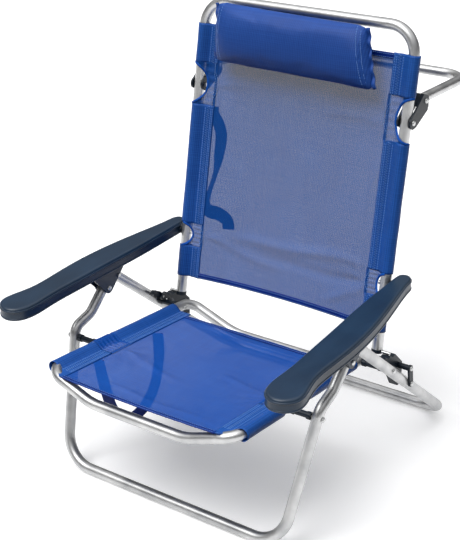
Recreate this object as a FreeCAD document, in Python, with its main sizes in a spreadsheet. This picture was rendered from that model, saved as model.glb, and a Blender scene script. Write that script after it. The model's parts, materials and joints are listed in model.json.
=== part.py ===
import FreeCAD, Part
import math
import os
import Sketcher
from FreeCAD import Placement, Rotation, Vector

# Folding beach chair: aluminium tube frames, stretched mesh seat and back,
# moulded armrests, recline racks and a swinging rear handle. Millimetres.
# X is left (-) to right (+), the sitter faces -Y, Z is up, the floor is z = 0.

SIZES = [
    ("tube_radius", 10.0, "outer radius of the main frame tube"),
    ("tube_wall", 1.2, "wall of every frame tube"),
    ("end_margin", 11.0, "tube left beyond an end pivot hole"),
    ("leg_x", 266.0, "centre line of both leg frames, from the middle"),
    ("rear_top_y", -107.0, "rear leg to armrest pivot"),
    ("rear_top_z", 317.0, "rear leg to armrest pivot"),
    ("rear_bar_y", 258.0, "rear floor bar centre"),
    ("rear_bend", 60.0, "rear floor bend radius"),
    ("front_top_y", -135.0, "front leg to armrest pivot"),
    ("front_top_z", 301.0, "front leg to armrest pivot"),
    ("front_knee_y", -177.0, "upper bend of the front leg"),
    ("front_knee_z", 262.0, "upper bend of the front leg"),
    ("front_hip_y", -219.0, "lower bend of the front leg, above the seat pivot"),
    ("front_hip_z", 249.0, "lower bend of the front leg, above the seat pivot"),
    ("front_bar_y", -294.5, "front floor bar centre"),
    ("front_splay", 27.0, "front floor bar corner inside the leg centre line"),
    ("front_bend", 62.0, "front floor bend radius"),
    ("knee_bend", 34.0, "upper front leg bend radius"),
    ("hip_bend", 26.0, "lower front leg bend radius"),
    ("hip_drop", 16.0, "seat pivot below the lower front leg bend"),
    ("seat_inset", 63.0, "seat side tube inside the leg centre line"),
    ("seat_rear_y", 16.0, "seat to rear leg pivot, on the rear leg line"),
    ("seat_front_corner_y", -360.5, "front corner of the seat loop"),
    ("seat_rear_corner_y", 48.0, "rear corner of the seat loop"),
    ("seat_front_dip", 32.0, "front bar below the seat corners"),
    ("seat_rear_dip", 45.0, "rear bar below the seat corners"),
    ("back_inset", 42.0, "backrest tube inside the leg centre line"),
    ("back_foot_y", 48.0, "lower end of the backrest tube"),
    ("back_foot_z", 230.0, "lower end of the backrest tube"),
    ("back_angle", 78.9, "backrest tube above horizontal, degrees"),
    ("back_length", 580.0, "lower tube end to top bar centre"),
    ("back_bend", 52.0, "top corner bend radius"),
    ("back_pivot", 123.6, "lower tube end to armrest pivot"),
    ("sleeve_low", 36.0, "lower hem from the lower tube end"),
    ("sleeve_drop", 53.0, "upper hem below the top bar centre"),
    ("sleeve_width", 51.5, "doubled side sleeve width"),
    ("cloth_gap", 0.35, "cloth clear of the tube inside it"),
    ("cloth_thick", 1.1, "doubled sleeve cloth"),
    ("panel_thick", 1.2, "mesh panel"),
    ("loop_step", 1.0, "handle tube radius less than the main tube radius"),
    ("loop_length", 190.0, "handle pivot to its crossbar"),
    ("loop_bend", 45.0, "handle corner bend radius"),
    ("loop_angle", -1.2, "handle above horizontal, degrees"),
    ("loop_pivot_y", 174.0, "handle pivot"),
    ("loop_pivot_z", 668.0, "handle pivot"),
    ("loop_margin", 8.0, "handle tube left beyond its pivot hole"),
    ("bracket_foot", 417.0, "handle bracket rivet from the lower tube end"),
    ("bracket_thick", 3.6, "handle bracket cheeks"),
    ("bolt_radius", 3.0, "pivot bolt shank"),
    ("bolt_play", 0.08, "radial running clearance of a pivot bolt"),
    ("head_radius", 4.8, "domed bolt head"),
    ("head_height", 3.2, "domed bolt head"),
    ("face_gap", 0.4, "side clearance between turning parts"),
    ("arm_height", 23.0, "armrest rim height"),
    ("arm_wall", 3.2, "armrest wall and top"),
    ("arm_tilt", 2.2, "armrest rises to the rear, degrees"),
    ("arm_top_z", 360.0, "armrest top above the rear leg pivot"),
    ("arm_edge", 5.0, "armrest top edge round"),
    ("arm_inset", 26.2, "armrest inner wall inside the leg centre line"),
    ("cheek_thick", 3.2, "armrest cheek plates"),
    ("cheek_radius", 11.0, "rounded cheek end"),
    ("rack_inset", 29.4, "inner face of the recline rack inside the leg centre line"),
    ("rack_thick", 17.5, "recline rack width"),
    ("rack_foot_y", 80.0, "rack foot bolt, on the rear leg line"),
    ("pin_drop", 3.2, "side pin below the lower tube end"),
    ("pin_radius", 3.2, "side pin of the backrest plug"),
    ("pillow_inset", 50.0, "headrest end inside the backrest tube centre line"),
    ("pillow_height", 116.0, "headrest height"),
    ("pillow_depth", 60.0, "headrest depth"),
    ("pillow_gap", 1.8, "headrest back to the middle of the mesh"),
    ("flap_half", 105.0, "half width of the headrest flap"),
    ("flap_thick", 1.4, "headrest flap cloth"),
    ("flap_gap", 1.6, "flap behind the middle of the mesh"),
    ("flap_length", 57.0, "flap hanging behind the mesh"),
    ("flap_drop", 23.0, "flap passes below the top bar centre"),
    ("strap_sink", 2.2, "seat strap end above the bottom of the tube"),
    ("strap_inset", 59.5, "back carrying strap inside the backrest tube"),
    ("strap_width", 30.0, "carrying strap webbing"),
    ("strap_thick", 1.6, "carrying strap webbing"),
]

# Places that follow from the sizes above.
DERIVED = [
    ("loop_radius", "=tube_radius - loop_step", "handle loop tube outer radius"),
    ("seat_x", "=leg_x - seat_inset", "seat side tube centre line"),
    ("back_x", "=leg_x - back_inset", "backrest tube centre line"),
    ("front_bar_x", "=leg_x - front_splay", "front floor bar corner, from the middle"),
    ("arm_pivot_x", "=leg_x - arm_inset", "armrest inner wall beside the backrest"),
    ("rack_inner_x", "=leg_x - rack_inset", "inner face of the recline rack"),
    ("strap_x", "=leg_x - back_inset - strap_inset", "back carrying strap from the middle"),
    ("pillow_length", "=2 * (leg_x - back_inset - pillow_inset)", "headrest length"),
    ("sleeve_high", "=back_length - sleeve_drop", "upper hem from the lower tube end"),
]

# Armrest outline in plan: (out from the leg centre line, front to back), right-hand side.
ARM_PLAN = [
    (2.0, -374.0), (30.0, -374.0), (47.0, -356.0), (46.0, -328.0),
    (37.5, -292.0), (36.0, -250.0), (38.0, -190.0), (36.0, -130.0),
    (26.0, -50.0), (11.0, 30.0), (4.5, 72.0), (1.5, 87.0), (-7.0, 96.0),
    (-16.0, 96.0), (-23.5, 91.0), (-26.0, 82.0), (-26.6, 60.0), (-26.6, 10.0), (-25.5, -60.0),
    (-21.5, -140.0), (-18.0, -220.0), (-16.0, -300.0), (-14.5, -350.0),
]

doc = FreeCAD.newDocument("beach_chair")
sheet = doc.addObject("Spreadsheet::Sheet", "Sheet")
for row, (alias, value, note) in enumerate(SIZES + DERIVED, start=1):
    sheet.set("A%d" % row, alias)
    sheet.set("B%d" % row, str(value))
    sheet.set("C%d" % row, note)
    sheet.setAlias("B%d" % row, alias)
doc.recompute()


def size(alias):
    return float(sheet.get(alias))


def in_plane(y_value, z_value, angle):
    """Placement with local Y turned up by angle (degrees) about X."""
    return Placement(Vector(0, y_value, z_value), Rotation(Vector(1, 0, 0), angle))


def rear_axis():
    """Unit vector down the rear leg, and the leg length from its pivot."""
    run = size("rear_bar_y") - size("rear_top_y")
    drop = size("rear_top_z") - size("tube_radius")
    length = math.hypot(run, drop)
    return Vector(0, run / length, -drop / length), length


def rear_point(y_value):
    """Point on the rear leg centre line (x = 0 plane) at a given y."""
    axis, _length = rear_axis()
    along = (y_value - size("rear_top_y")) / axis.y
    return Vector(0, size("rear_top_y"), size("rear_top_z")) + axis * along


def back_axis():
    angle = math.radians(size("back_angle"))
    return Vector(0, math.cos(angle), math.sin(angle))


def back_point(along, behind=0.0):
    """Point beside the backrest tube: along it and behind its plane."""
    axis = back_axis()
    foot = Vector(0, size("back_foot_y"), size("back_foot_z"))
    return foot + axis * along + Vector(0, axis.z, -axis.y) * behind


def front_axis():
    """Unit vector from the front floor bar corner up to the lower bend."""
    low = Vector(size("front_bar_x"), size("front_bar_y"), size("tube_radius"))
    rise = (size("front_hip_z") - low.z)
    drift = (size("leg_x") - low.x) * rise / (hip_height() - low.z)
    high = Vector(low.x + drift, size("front_hip_y"), size("front_hip_z"))
    step = high.sub(low)
    return step.normalize(), low, high


def hip_height():
    run = size("front_hip_y") - size("front_bar_y")
    rise = size("front_hip_z") - size("tube_radius")
    return size("front_hip_z") - size("hip_drop") * rise / math.hypot(run, rise)


def seat_front_pivot():
    """Pivot of the seat on the front leg, in the x = 0 plane."""
    run = size("front_hip_y") - size("front_bar_y")
    rise = size("front_hip_z") - size("tube_radius")
    back = size("hip_drop") * run / math.hypot(run, rise)
    return Vector(0, size("front_hip_y") - back, hip_height())


def bar(start, end, radius):
    """Solid round bar between two points."""
    step = end.sub(start)
    return Part.makeCylinder(radius, step.Length, start, step)


def cross_bar(point, x_from, x_to, radius):
    """Round bar along X at a point's height, between two x values."""
    low = Vector(min(x_from, x_to), point.y, point.z)
    return Part.makeCylinder(radius, abs(x_to - x_from), low, Vector(1, 0, 0))


def filleted_wire(points, bends):
    """Open polyline whose inner corners are rounded to the given radii."""
    edges = []
    last = points[0]
    for before, corner, after, radius in zip(points, points[1:], points[2:], bends):
        into = before.sub(corner).normalize()
        out = after.sub(corner).normalize()
        half = into.getAngle(out) / 2.0
        reach = radius / math.tan(half)
        first = corner + into * reach
        second = corner + out * reach
        middle_way = (into + out).normalize()
        middle = corner + middle_way * (radius / math.sin(half) - radius)
        edges.append(Part.makeLine(last, first))
        edges.append(Part.Arc(first, middle, second).toShape())
        last = second
    edges.append(Part.makeLine(last, points[-1]))
    return Part.Wire(edges)


def piped(points, bends, radius):
    """Solid round bar along a rounded polyline."""
    wire = filleted_wire(points, bends)
    start = points[0]
    normal = points[1].sub(points[0])
    circle = Part.Wire(Part.makeCircle(radius, start, normal))
    return wire.makePipeShell([circle], True, False)


def bent_tube(points, bends, radius, wall):
    """Open-ended tube along a rounded polyline."""
    return piped(points, bends, radius).cut(piped(points, bends, radius - wall))


def mirrored(shape):
    return shape.mirror(Vector(0, 0, 0), Vector(1, 0, 0))


def add_shape(name, shape, placement=None):
    """One computed sub-part; its shape is given about the placement's origin."""
    item = doc.addObject("Part::Feature", name)
    item.Label = name
    placement = placement or Placement()
    local = shape.copy()
    local.transformShape(placement.inverse().toMatrix(), True)
    item.Shape = local
    item.Placement = placement
    return item


def at(point, x_value=0.0):
    return Placement(Vector(x_value, point.y, point.z), Rotation())


def both_sides(name, shape, origin):
    """Left and right hand versions of a part built on the right."""
    add_shape(name + "_right", shape, at(origin, size("leg_x")))
    add_shape(name + "_left", mirrored(shape), at(origin, -size("leg_x")))


def pair(name, shape, origin):
    """A part used once on each side, kept as one group of two."""
    add_shape(name, Part.makeCompound([shape, mirrored(shape)]), at(origin))


def own_plane(body, role):
    return [item for item in body.Origin.OriginFeatures if item.Role == role][0]


def new_sketch(body, name, role):
    sketch = body.newObject("Sketcher::SketchObject", name)
    sketch.AttachmentSupport = (own_plane(body, role), [""])
    sketch.MapMode = "FlatFace"
    return sketch


def u_path(sketch, half_width, length, bend):
    """Upright U: two legs from the X axis joined by a bar, corners rounded."""
    half = size(half_width)
    top = size(length) if isinstance(length, str) else length
    radius = size(bend)
    corner = math.pi / 2
    sketch.addGeometry(Part.LineSegment(Vector(-half, 0, 0), Vector(-half, top - radius, 0)))
    left = Part.Circle(Vector(radius - half, top - radius, 0), Vector(0, 0, 1), radius)
    sketch.addGeometry(Part.ArcOfCircle(left, corner, 2 * corner))
    sketch.addGeometry(Part.LineSegment(Vector(radius - half, top, 0), Vector(half - radius, top, 0)))
    right = Part.Circle(Vector(half - radius, top - radius, 0), Vector(0, 0, 1), radius)
    sketch.addGeometry(Part.ArcOfCircle(right, 0, corner))
    sketch.addGeometry(Part.LineSegment(Vector(half, top - radius, 0), Vector(half, 0, 0)))


def u_rules(sketch, half_width, length_rule, bend):
    """Tangent corners, square legs and the four driving sizes of a U path."""
    rule = Sketcher.Constraint
    sketch.addConstraint(rule("Tangent", 0, 2, 1, 2))
    sketch.addConstraint(rule("Tangent", 1, 1, 2, 1))
    sketch.addConstraint(rule("Tangent", 2, 2, 3, 2))
    sketch.addConstraint(rule("Tangent", 3, 1, 4, 1))
    sketch.addConstraint(rule("Vertical", 0))
    sketch.addConstraint(rule("Horizontal", 2))
    sketch.addConstraint(rule("Vertical", 4))
    sketch.addConstraint(rule("PointOnObject", 0, 1, -1))
    sketch.addConstraint(rule("PointOnObject", 4, 2, -1))
    sketch.addConstraint(rule("Equal", 1, 3))
    driven = [
        (rule("Radius", 1, size(bend)), "Sheet.%s" % bend),
        (rule("DistanceX", 0, 1, -1, 1, size(half_width)), "Sheet.%s" % half_width),
        (rule("DistanceX", -1, 1, 4, 2, size(half_width)), "Sheet.%s" % half_width),
        (rule("DistanceY", -1, 1, 2, 1, length_rule[0]), length_rule[1]),
    ]
    for constraint, expression in driven:
        index = sketch.addConstraint(constraint)
        sketch.setExpression("Constraints[%d]" % index, expression)


def ring_sketch(body, name, half_width, radius):
    """Tube wall section where the left leg of a U path starts."""
    sketch = new_sketch(body, name, "XZ_Plane")
    centre = Vector(-size(half_width), 0, 0)
    rule = Sketcher.Constraint
    for index, inset in enumerate((0.0, size("tube_wall"))):
        circle = Part.Circle(centre, Vector(0, 0, 1), size(radius) - inset)
        sketch.addGeometry(circle)
        side = sketch.addConstraint(rule("DistanceX", index, 3, -1, 1, size(half_width)))
        sketch.setExpression("Constraints[%d]" % side, "Sheet.%s" % half_width)
        sketch.addConstraint(rule("PointOnObject", index, 3, -1))
        wide = sketch.addConstraint(rule("Radius", index, size(radius) - inset))
        text = "Sheet.%s" % radius
        text += " - Sheet.tube_wall" if index else ""
        sketch.setExpression("Constraints[%d]" % wide, text)
    return sketch


def drill_across(body, name, rows):
    """Bolt holes along X through both legs; rows are (number, expression)."""
    sketch = new_sketch(body, name, "YZ_Plane")
    rule = Sketcher.Constraint
    hole = size("bolt_radius") + size("bolt_play")
    for index, (along, text) in enumerate(rows):
        sketch.addGeometry(Part.Circle(Vector(along, 0, 0), Vector(0, 0, 1), hole))
        sketch.addConstraint(rule("PointOnObject", index, 3, -1))
        reach = sketch.addConstraint(rule("DistanceX", -1, 1, index, 3, along))
        sketch.setExpression("Constraints[%d]" % reach, text)
        wide = sketch.addConstraint(rule("Radius", index, hole))
        sketch.setExpression("Constraints[%d]" % wide, "Sheet.bolt_radius + Sheet.bolt_play")
    pocket = body.newObject("PartDesign::Pocket", name + "_cut")
    pocket.Profile = sketch
    pocket.Type = "ThroughAll"
    pocket.Midplane = True


def u_frame(name, half_width, length_rule, bend, radius, holes, placement):
    """Tube bent to a U with cross holes near its ends."""
    body = doc.addObject("PartDesign::Body", name)
    body.Label = name
    path = new_sketch(body, name + "_path", "XY_Plane")
    u_path(path, half_width, length_rule[0], bend)
    u_rules(path, half_width, length_rule, bend)
    section = ring_sketch(body, name + "_section", half_width, radius)
    doc.recompute()
    pipe = body.newObject("PartDesign::AdditivePipe", name + "_tube")
    pipe.Profile = section
    pipe.Spine = (path, ["Edge%d" % n for n in range(1, 6)])
    doc.recompute()
    drill_across(body, name + "_holes", holes)
    body.Placement = placement
    return body


def rear_leg_frame():
    axis, length = rear_axis()
    margin = size("end_margin")
    reach = "sqrt((Sheet.rear_bar_y - Sheet.rear_top_y)^2 + (Sheet.rear_top_z - Sheet.tube_radius)^2)"
    ratio = reach + " / (Sheet.rear_bar_y - Sheet.rear_top_y)"
    seat_along = margin + (size("seat_rear_y") - size("rear_top_y")) / axis.y
    rack_along = margin + (rack_pivot().y - size("rear_top_y")) / axis.y
    seat_text = "Sheet.end_margin + (Sheet.seat_rear_y - Sheet.rear_top_y) * " + ratio
    rack_text = "Sheet.end_margin + (Sheet.rack_foot_y - Sheet.rear_top_y) * " + ratio
    holes = [(margin, "Sheet.end_margin"), (seat_along, seat_text), (rack_along, rack_text)]
    start = Vector(0, size("rear_top_y"), size("rear_top_z")) - axis * margin
    angle = math.degrees(math.atan2(axis.z, axis.y))
    place = in_plane(start.y, start.z, angle)
    full = (length + margin, "Sheet.end_margin + " + reach)
    u_frame("rear_leg_frame", "leg_x", full, "rear_bend", "tube_radius", holes, place)


def backrest_frame():
    holes = [
        (size("back_pivot"), "Sheet.back_pivot"),
        (size("bracket_foot"), "Sheet.bracket_foot"),
    ]
    place = in_plane(size("back_foot_y"), size("back_foot_z"), size("back_angle"))
    full = (size("back_length"), "Sheet.back_length")
    frame = u_frame("backrest_frame", "back_x", full, "back_bend", "tube_radius", holes, place)
    frame.setExpression("Placement.Base.y", "Sheet.back_foot_y")
    frame.setExpression("Placement.Base.z", "Sheet.back_foot_z")


def handle_loop():
    angle = size("loop_angle")
    axis = Vector(0, math.cos(math.radians(angle)), math.sin(math.radians(angle)))
    start = Vector(0, size("loop_pivot_y"), size("loop_pivot_z")) - axis * size("loop_margin")
    full = (size("loop_length") + size("loop_margin"), "Sheet.loop_length + Sheet.loop_margin")
    holes = [(size("loop_margin"), "Sheet.loop_margin")]
    place = in_plane(start.y, start.z, angle)
    u_frame("handle_loop", "back_x", full, "loop_bend", "loop_radius", holes, place)


def front_leg_frame():
    """Front floor bar, splayed legs and the double bend up to the armrest."""
    way, low, high = front_axis()
    knee = Vector(size("leg_x"), size("front_knee_y"), size("front_knee_z"))
    top = Vector(size("leg_x"), size("front_top_y"), size("front_top_z"))
    end = top + top.sub(knee).normalize() * size("end_margin")
    right = [end, knee, high, low]
    left = [Vector(-p.x, p.y, p.z) for p in reversed(right)]
    bend = size("front_bend")
    bends = [size("knee_bend"), size("hip_bend"), bend, bend, size("hip_bend"), size("knee_bend")]
    tube = bent_tube(right + left, bends, size("tube_radius"), size("tube_wall"))
    hole = size("bolt_radius") + size("bolt_play")
    wide = size("leg_x") + 2 * size("tube_radius")
    tube = tube.cut(cross_bar(seat_front_pivot(), -wide, wide, hole))
    add_shape("front_leg_frame", tube, at(seat_front_pivot()))


def seat_side(y_value, x_value):
    """Point on a seat side tube centre line."""
    front = seat_front_pivot()
    rear = rear_point(size("seat_rear_y"))
    share = (y_value - front.y) / (rear.y - front.y)
    return Vector(x_value, y_value, front.z + share * (rear.z - front.z))


def seat_half(y_corner, dip, bend, middle_y):
    """Half of the seat loop: side tube, corner and dipped cross bar."""
    reach = size("seat_x")
    outer = seat_side(y_corner, reach)
    inner = Vector(reach * 0.5, y_corner + (8.0 if y_corner > 0 else -8.0), outer.z - dip)
    right = [seat_side(middle_y, reach), outer, inner]
    left = [Vector(-p.x, p.y, p.z) for p in reversed(right)]
    bends = [bend, 110.0, 110.0, bend]
    return bent_tube(right + left, bends, size("tube_radius"), size("tube_wall"))


def seat_frame():
    middle = -150.0
    front = seat_half(size("seat_front_corner_y"), size("seat_front_dip"), 36.0, middle)
    rear = seat_half(size("seat_rear_corner_y"), size("seat_rear_dip"), 27.0, middle)
    loop = front.fuse(rear)
    hole = size("bolt_radius") + size("bolt_play")
    wide = size("seat_x") + 2 * size("tube_radius")
    for pivot in (seat_front_pivot(), rear_point(size("seat_rear_y"))):
        loop = loop.cut(cross_bar(pivot, -wide, wide, hole))
    add_shape("seat_frame", loop, at(rear_point(size("seat_rear_y"))))


def dome(point, x_face, outward):
    """Rounded bolt head standing on a face, pointing out (+1) or in (-1)."""
    tall = size("head_height")
    tip = x_face + outward * tall
    head = cross_bar(point, x_face, tip, size("head_radius"))
    rim = [e for e in head.Edges if e.BoundBox.XLength < 0.01 and abs(e.BoundBox.XMin - tip) < 0.01]
    return head.makeFillet(tall * 0.8, rim)


def bolt(point, x_head, x_end):
    """Right-hand bolt along X: domed head outboard, plain nut inboard."""
    shank = cross_bar(point, x_end, x_head, size("bolt_radius"))
    nut = cross_bar(point, x_end - size("head_height"), x_end, size("head_radius") - 1.0)
    return shank.fuse([dome(point, x_head, 1), nut])


def arm_outline(inset):
    points = [Vector(size("leg_x") + out, y, 0) for out, y in ARM_PLAN]
    curve = Part.BSplineCurve()
    curve.interpolate(Points=points, PeriodicFlag=True)
    if inset > 0:
        curve = inner_curve(curve, inset)
    return Part.Wire(curve.toShape())


def inner_curve(curve, inset):
    """Closed curve running a constant distance inside another."""
    count = 64
    first = curve.FirstParameter
    step = (curve.LastParameter - first) / count
    points = []
    for index in range(count):
        where = first + step * index
        way = curve.tangent(where)[0]
        points.append(curve.value(where) + Vector(-way.y, way.x, 0) * inset)
    inner = Part.BSplineCurve()
    inner.interpolate(Points=points, PeriodicFlag=True)
    return inner


def arm_place():
    """The armrest plan is tilted about the rear leg pivot's height line."""
    pivot = Vector(0, size("rear_top_y"), size("arm_top_z"))
    turn = Rotation(Vector(1, 0, 0), size("arm_tilt"))
    shift = Vector(0, size("rear_top_y"), 0)
    return Placement(pivot - turn.multVec(shift), turn)


def arm_skin(y_value):
    """Height of the middle of the armrest's top skin."""
    rise = math.tan(math.radians(size("arm_tilt"))) * (y_value - size("rear_top_y"))
    return size("arm_top_z") + rise - size("arm_wall") / 2


def cheek(x_from):
    """Plate under the armrest carrying both leg pivots on one side."""
    front = Vector(0, size("front_top_y"), size("front_top_z"))
    radius = size("cheek_radius")
    rim = size("arm_top_z") - size("arm_height") + 3.0
    points = [
        Vector(x_from, front.y - 62.0, arm_skin(front.y - 62.0)),
        Vector(x_from, front.y - 46.0, rim - 3.0),
        Vector(x_from, front.y - radius, front.z - 2.0),
        Vector(x_from, front.y + radius - 1.5, front.z - 6.5),
        Vector(x_from, front.y + 52.0, rim - 2.0),
        Vector(x_from, front.y + 70.0, arm_skin(front.y + 70.0)),
    ]
    face = Part.Face(Part.makePolygon(points + [points[0]]))
    plate = face.extrude(Vector(size("cheek_thick"), 0, 0))
    return plate.fuse(cross_bar(front, x_from, x_from + size("cheek_thick"), radius))


def armrests():
    height = size("arm_height")
    wall = size("arm_wall")
    slab = Part.Face(arm_outline(0)).extrude(Vector(0, 0, height))
    rim = [edge for edge in slab.Edges if abs(edge.BoundBox.ZMin - height) < 0.01]
    slab = slab.makeFillet(size("arm_edge"), rim)
    well = Part.Face(arm_outline(wall)).extrude(Vector(0, 0, height - wall))
    shell = slab.cut(well)
    shell.translate(Vector(0, 0, -height))
    shell.transformShape(arm_place().toMatrix(), True)
    gap = size("face_gap")
    outer = size("leg_x") + size("tube_radius") + gap
    inner = size("leg_x") - size("tube_radius") - gap - size("cheek_thick")
    shell = shell.fuse([cheek(outer), cheek(inner)])
    hole = size("bolt_radius")
    rear = Vector(0, size("rear_top_y"), size("rear_top_z"))
    shell = shell.cut(cross_bar(rear, inner - 1, outer + 10, hole))
    pivot = back_point(size("back_pivot"))
    shell = shell.cut(cross_bar(pivot, size("back_x"), size("leg_x"), hole))
    both_sides("armrest", shell.removeSplitter(), rear)


def rack_pivot():
    """Bolt holding the foot of the recline rack on the rear leg."""
    return rear_point(size("rack_foot_y"))


def rack_top_arc(steps):
    """Top edge of the rack: shallow notches just below the pin's path."""
    pivot = back_point(size("back_pivot"))
    reach = size("back_pivot") + size("pin_drop") + size("pin_radius") + size("face_gap")
    points = []
    for index in range(steps + 1):
        share = index / steps
        angle = math.radians(236.0 + share * 30.0)
        wave = 1.8 * (1 - math.cos(2 * math.pi * 4 * share))
        radius = reach + wave
        points.append(Vector(0, pivot.y + radius * math.cos(angle), pivot.z + radius * math.sin(angle)))
    return points


def rack():
    """Notched plastic body inboard of the rear leg, with a foot and strap."""
    inner = size("rack_inner_x")
    foot = rack_pivot()
    top = rack_top_arc(48)
    lower = [
        Vector(0, foot.y + 10.0, foot.z + 34.0), Vector(0, foot.y + 9.0, foot.z),
        Vector(0, foot.y + 4.0, foot.z - 9.0), Vector(0, foot.y - 6.0, foot.z - 9.0),
        Vector(0, foot.y - 13.0, foot.z + 4.0), Vector(0, foot.y - 30.0, foot.z + 33.0),
        Vector(0, foot.y - 46.0, foot.z + 56.0), Vector(0, foot.y - 58.0, foot.z + 64.5),
        Vector(0, foot.y - 72.0, foot.z + 66.0),
    ]
    outline = [Vector(inner, p.y, p.z) for p in top + lower]
    face = Part.Face(Part.makePolygon(outline + [outline[0]]))
    body = face.extrude(Vector(size("rack_thick"), 0, 0))
    hole = size("bolt_radius")
    return body.cut(cross_bar(foot, inner - 1, inner + size("rack_thick") + 1, hole))


def outer_strap():
    """Link plate outboard of the rear leg between the two rack bolts."""
    thick = 4.0
    face_x = size("leg_x") + size("tube_radius") + 0.3
    low = rack_pivot()
    high = low + Vector(0, -4.0, 33.0)
    side = high.sub(low).normalize()
    across = Vector(0, side.z, -side.y) * 6.5
    points = [low + across, high + across, high - across, low - across]
    outline = [Vector(face_x, p.y, p.z) for p in points]
    plate = Part.Face(Part.makePolygon(outline + [outline[0]])).extrude(Vector(thick, 0, 0))
    for end in (low, high):
        plate = plate.fuse(cross_bar(end, face_x, face_x + thick, 6.5))
    for end in (low, high):
        plate = plate.cut(cross_bar(end, face_x - 1, face_x + thick + 1, size("bolt_radius")))
    return plate


def recline_parts():
    foot = rack_pivot()
    high = foot + Vector(0, -4.0, 33.0)
    inner = size("rack_inner_x")
    body = rack()
    body = body.cut(cross_bar(high, inner - 1, inner + size("rack_thick") + 1, size("bolt_radius")))
    both_sides("recline_rack", with_nose(body), foot)
    both_sides("rack_strap", outer_strap(), foot)
    outer = size("leg_x") + size("tube_radius") + 4.3
    pair("rack_foot_bolts", bolt(foot, outer, inner), foot)
    pair("rack_top_bolts", bolt(high, outer, inner), high)
    collar_in = inner + size("rack_thick") + 0.3
    collar = cross_bar(high, collar_in, size("leg_x") + size("tube_radius"), 5.5)
    collar = collar.cut(cross_bar(high, inner, outer, size("bolt_radius") + 0.1))
    pair("rack_collars", collar, high)


def release_levers():
    """Small thumb levers at the front end of each rack."""
    hinge = lever_pivot()
    inner = size("rack_inner_x")
    tip = hinge + Vector(0, -20.0, 13.0)
    side = tip.sub(hinge).normalize()
    across = Vector(0, side.z, -side.y) * 4.5
    points = [hinge + across, tip + across * 1.25, tip - across * 1.25, hinge - across]
    outline = [Vector(inner + 4.5, p.y, p.z) for p in points]
    arm = Part.Face(Part.makePolygon(outline + [outline[0]])).extrude(Vector(8.5, 0, 0))
    arm = arm.fuse([cross_bar(hinge, inner + 4.5, inner + 13.0, 4.5), cross_bar(tip, inner + 4.5, inner + 13.0, 5.6)])
    hole = size("bolt_radius") - 0.5 + size("bolt_play")
    arm = arm.cut(cross_bar(hinge, inner, inner + 20.0, hole))
    add_shape("release_lever_right", arm, at(hinge, inner))
    add_shape("release_lever_left", mirrored(arm), at(hinge, -inner))
    pin = cross_bar(hinge, inner + 0.5, inner + 17.0, size("bolt_radius") - 0.5)
    pair("lever_pins", pin, hinge)


def lever_pivot():
    return rack_pivot() + Vector(0, -73.0, 70.0)


def with_nose(body):
    """Add the fork at the front of the rack that takes the release lever."""
    hinge = lever_pivot()
    inner = size("rack_inner_x")
    nose = cross_bar(hinge, inner, inner + size("rack_thick"), 7.0)
    link = Part.makeBox(size("rack_thick"), 22.0, 6.0, Vector(inner, hinge.y, hinge.z - 8.0))
    slot = Part.makeBox(9.5, 26.0, 24.0, Vector(inner + 4.0, hinge.y - 13.0, hinge.z - 12.0))
    drill = cross_bar(hinge, inner - 1, inner + 20.0, size("bolt_radius") - 0.5)
    return body.fuse([nose, link]).cut(slot).cut(drill)


def backrest_feet():
    """Plastic plugs in the lower backrest tube ends, each with a side pin."""
    centre = size("back_x")
    axis = back_axis()
    foot = back_point(0.0)
    bore = size("tube_radius") - size("tube_wall") - 0.1
    base = Vector(centre, foot.y, foot.z)
    plug = bar(base, base + axis * 26.0, bore)
    cap = bar(base - axis * 7.0, base, size("tube_radius") + 0.4)
    plug = plug.fuse(cap)
    pair("backrest_end_plugs", plug, foot)
    pin_point = back_point(-size("pin_drop"))
    pin = cross_bar(pin_point, size("back_x") + size("tube_radius") + 0.4, size("rack_inner_x") + 14.0, size("pin_radius"))
    pair("rack_pins", pin, foot)
    screw_at = back_point(21.0)
    normal = Vector(0, -axis.z, axis.y)
    spot = Vector(centre, screw_at.y, screw_at.z) + normal * (size("tube_radius") - 0.3)
    screw = Part.makeCylinder(2.6, 1.7, spot, normal)
    tube = bar(base, base + axis * 60.0, size("tube_radius"))
    pair("plug_screws", screw.cut(tube), foot)


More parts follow.
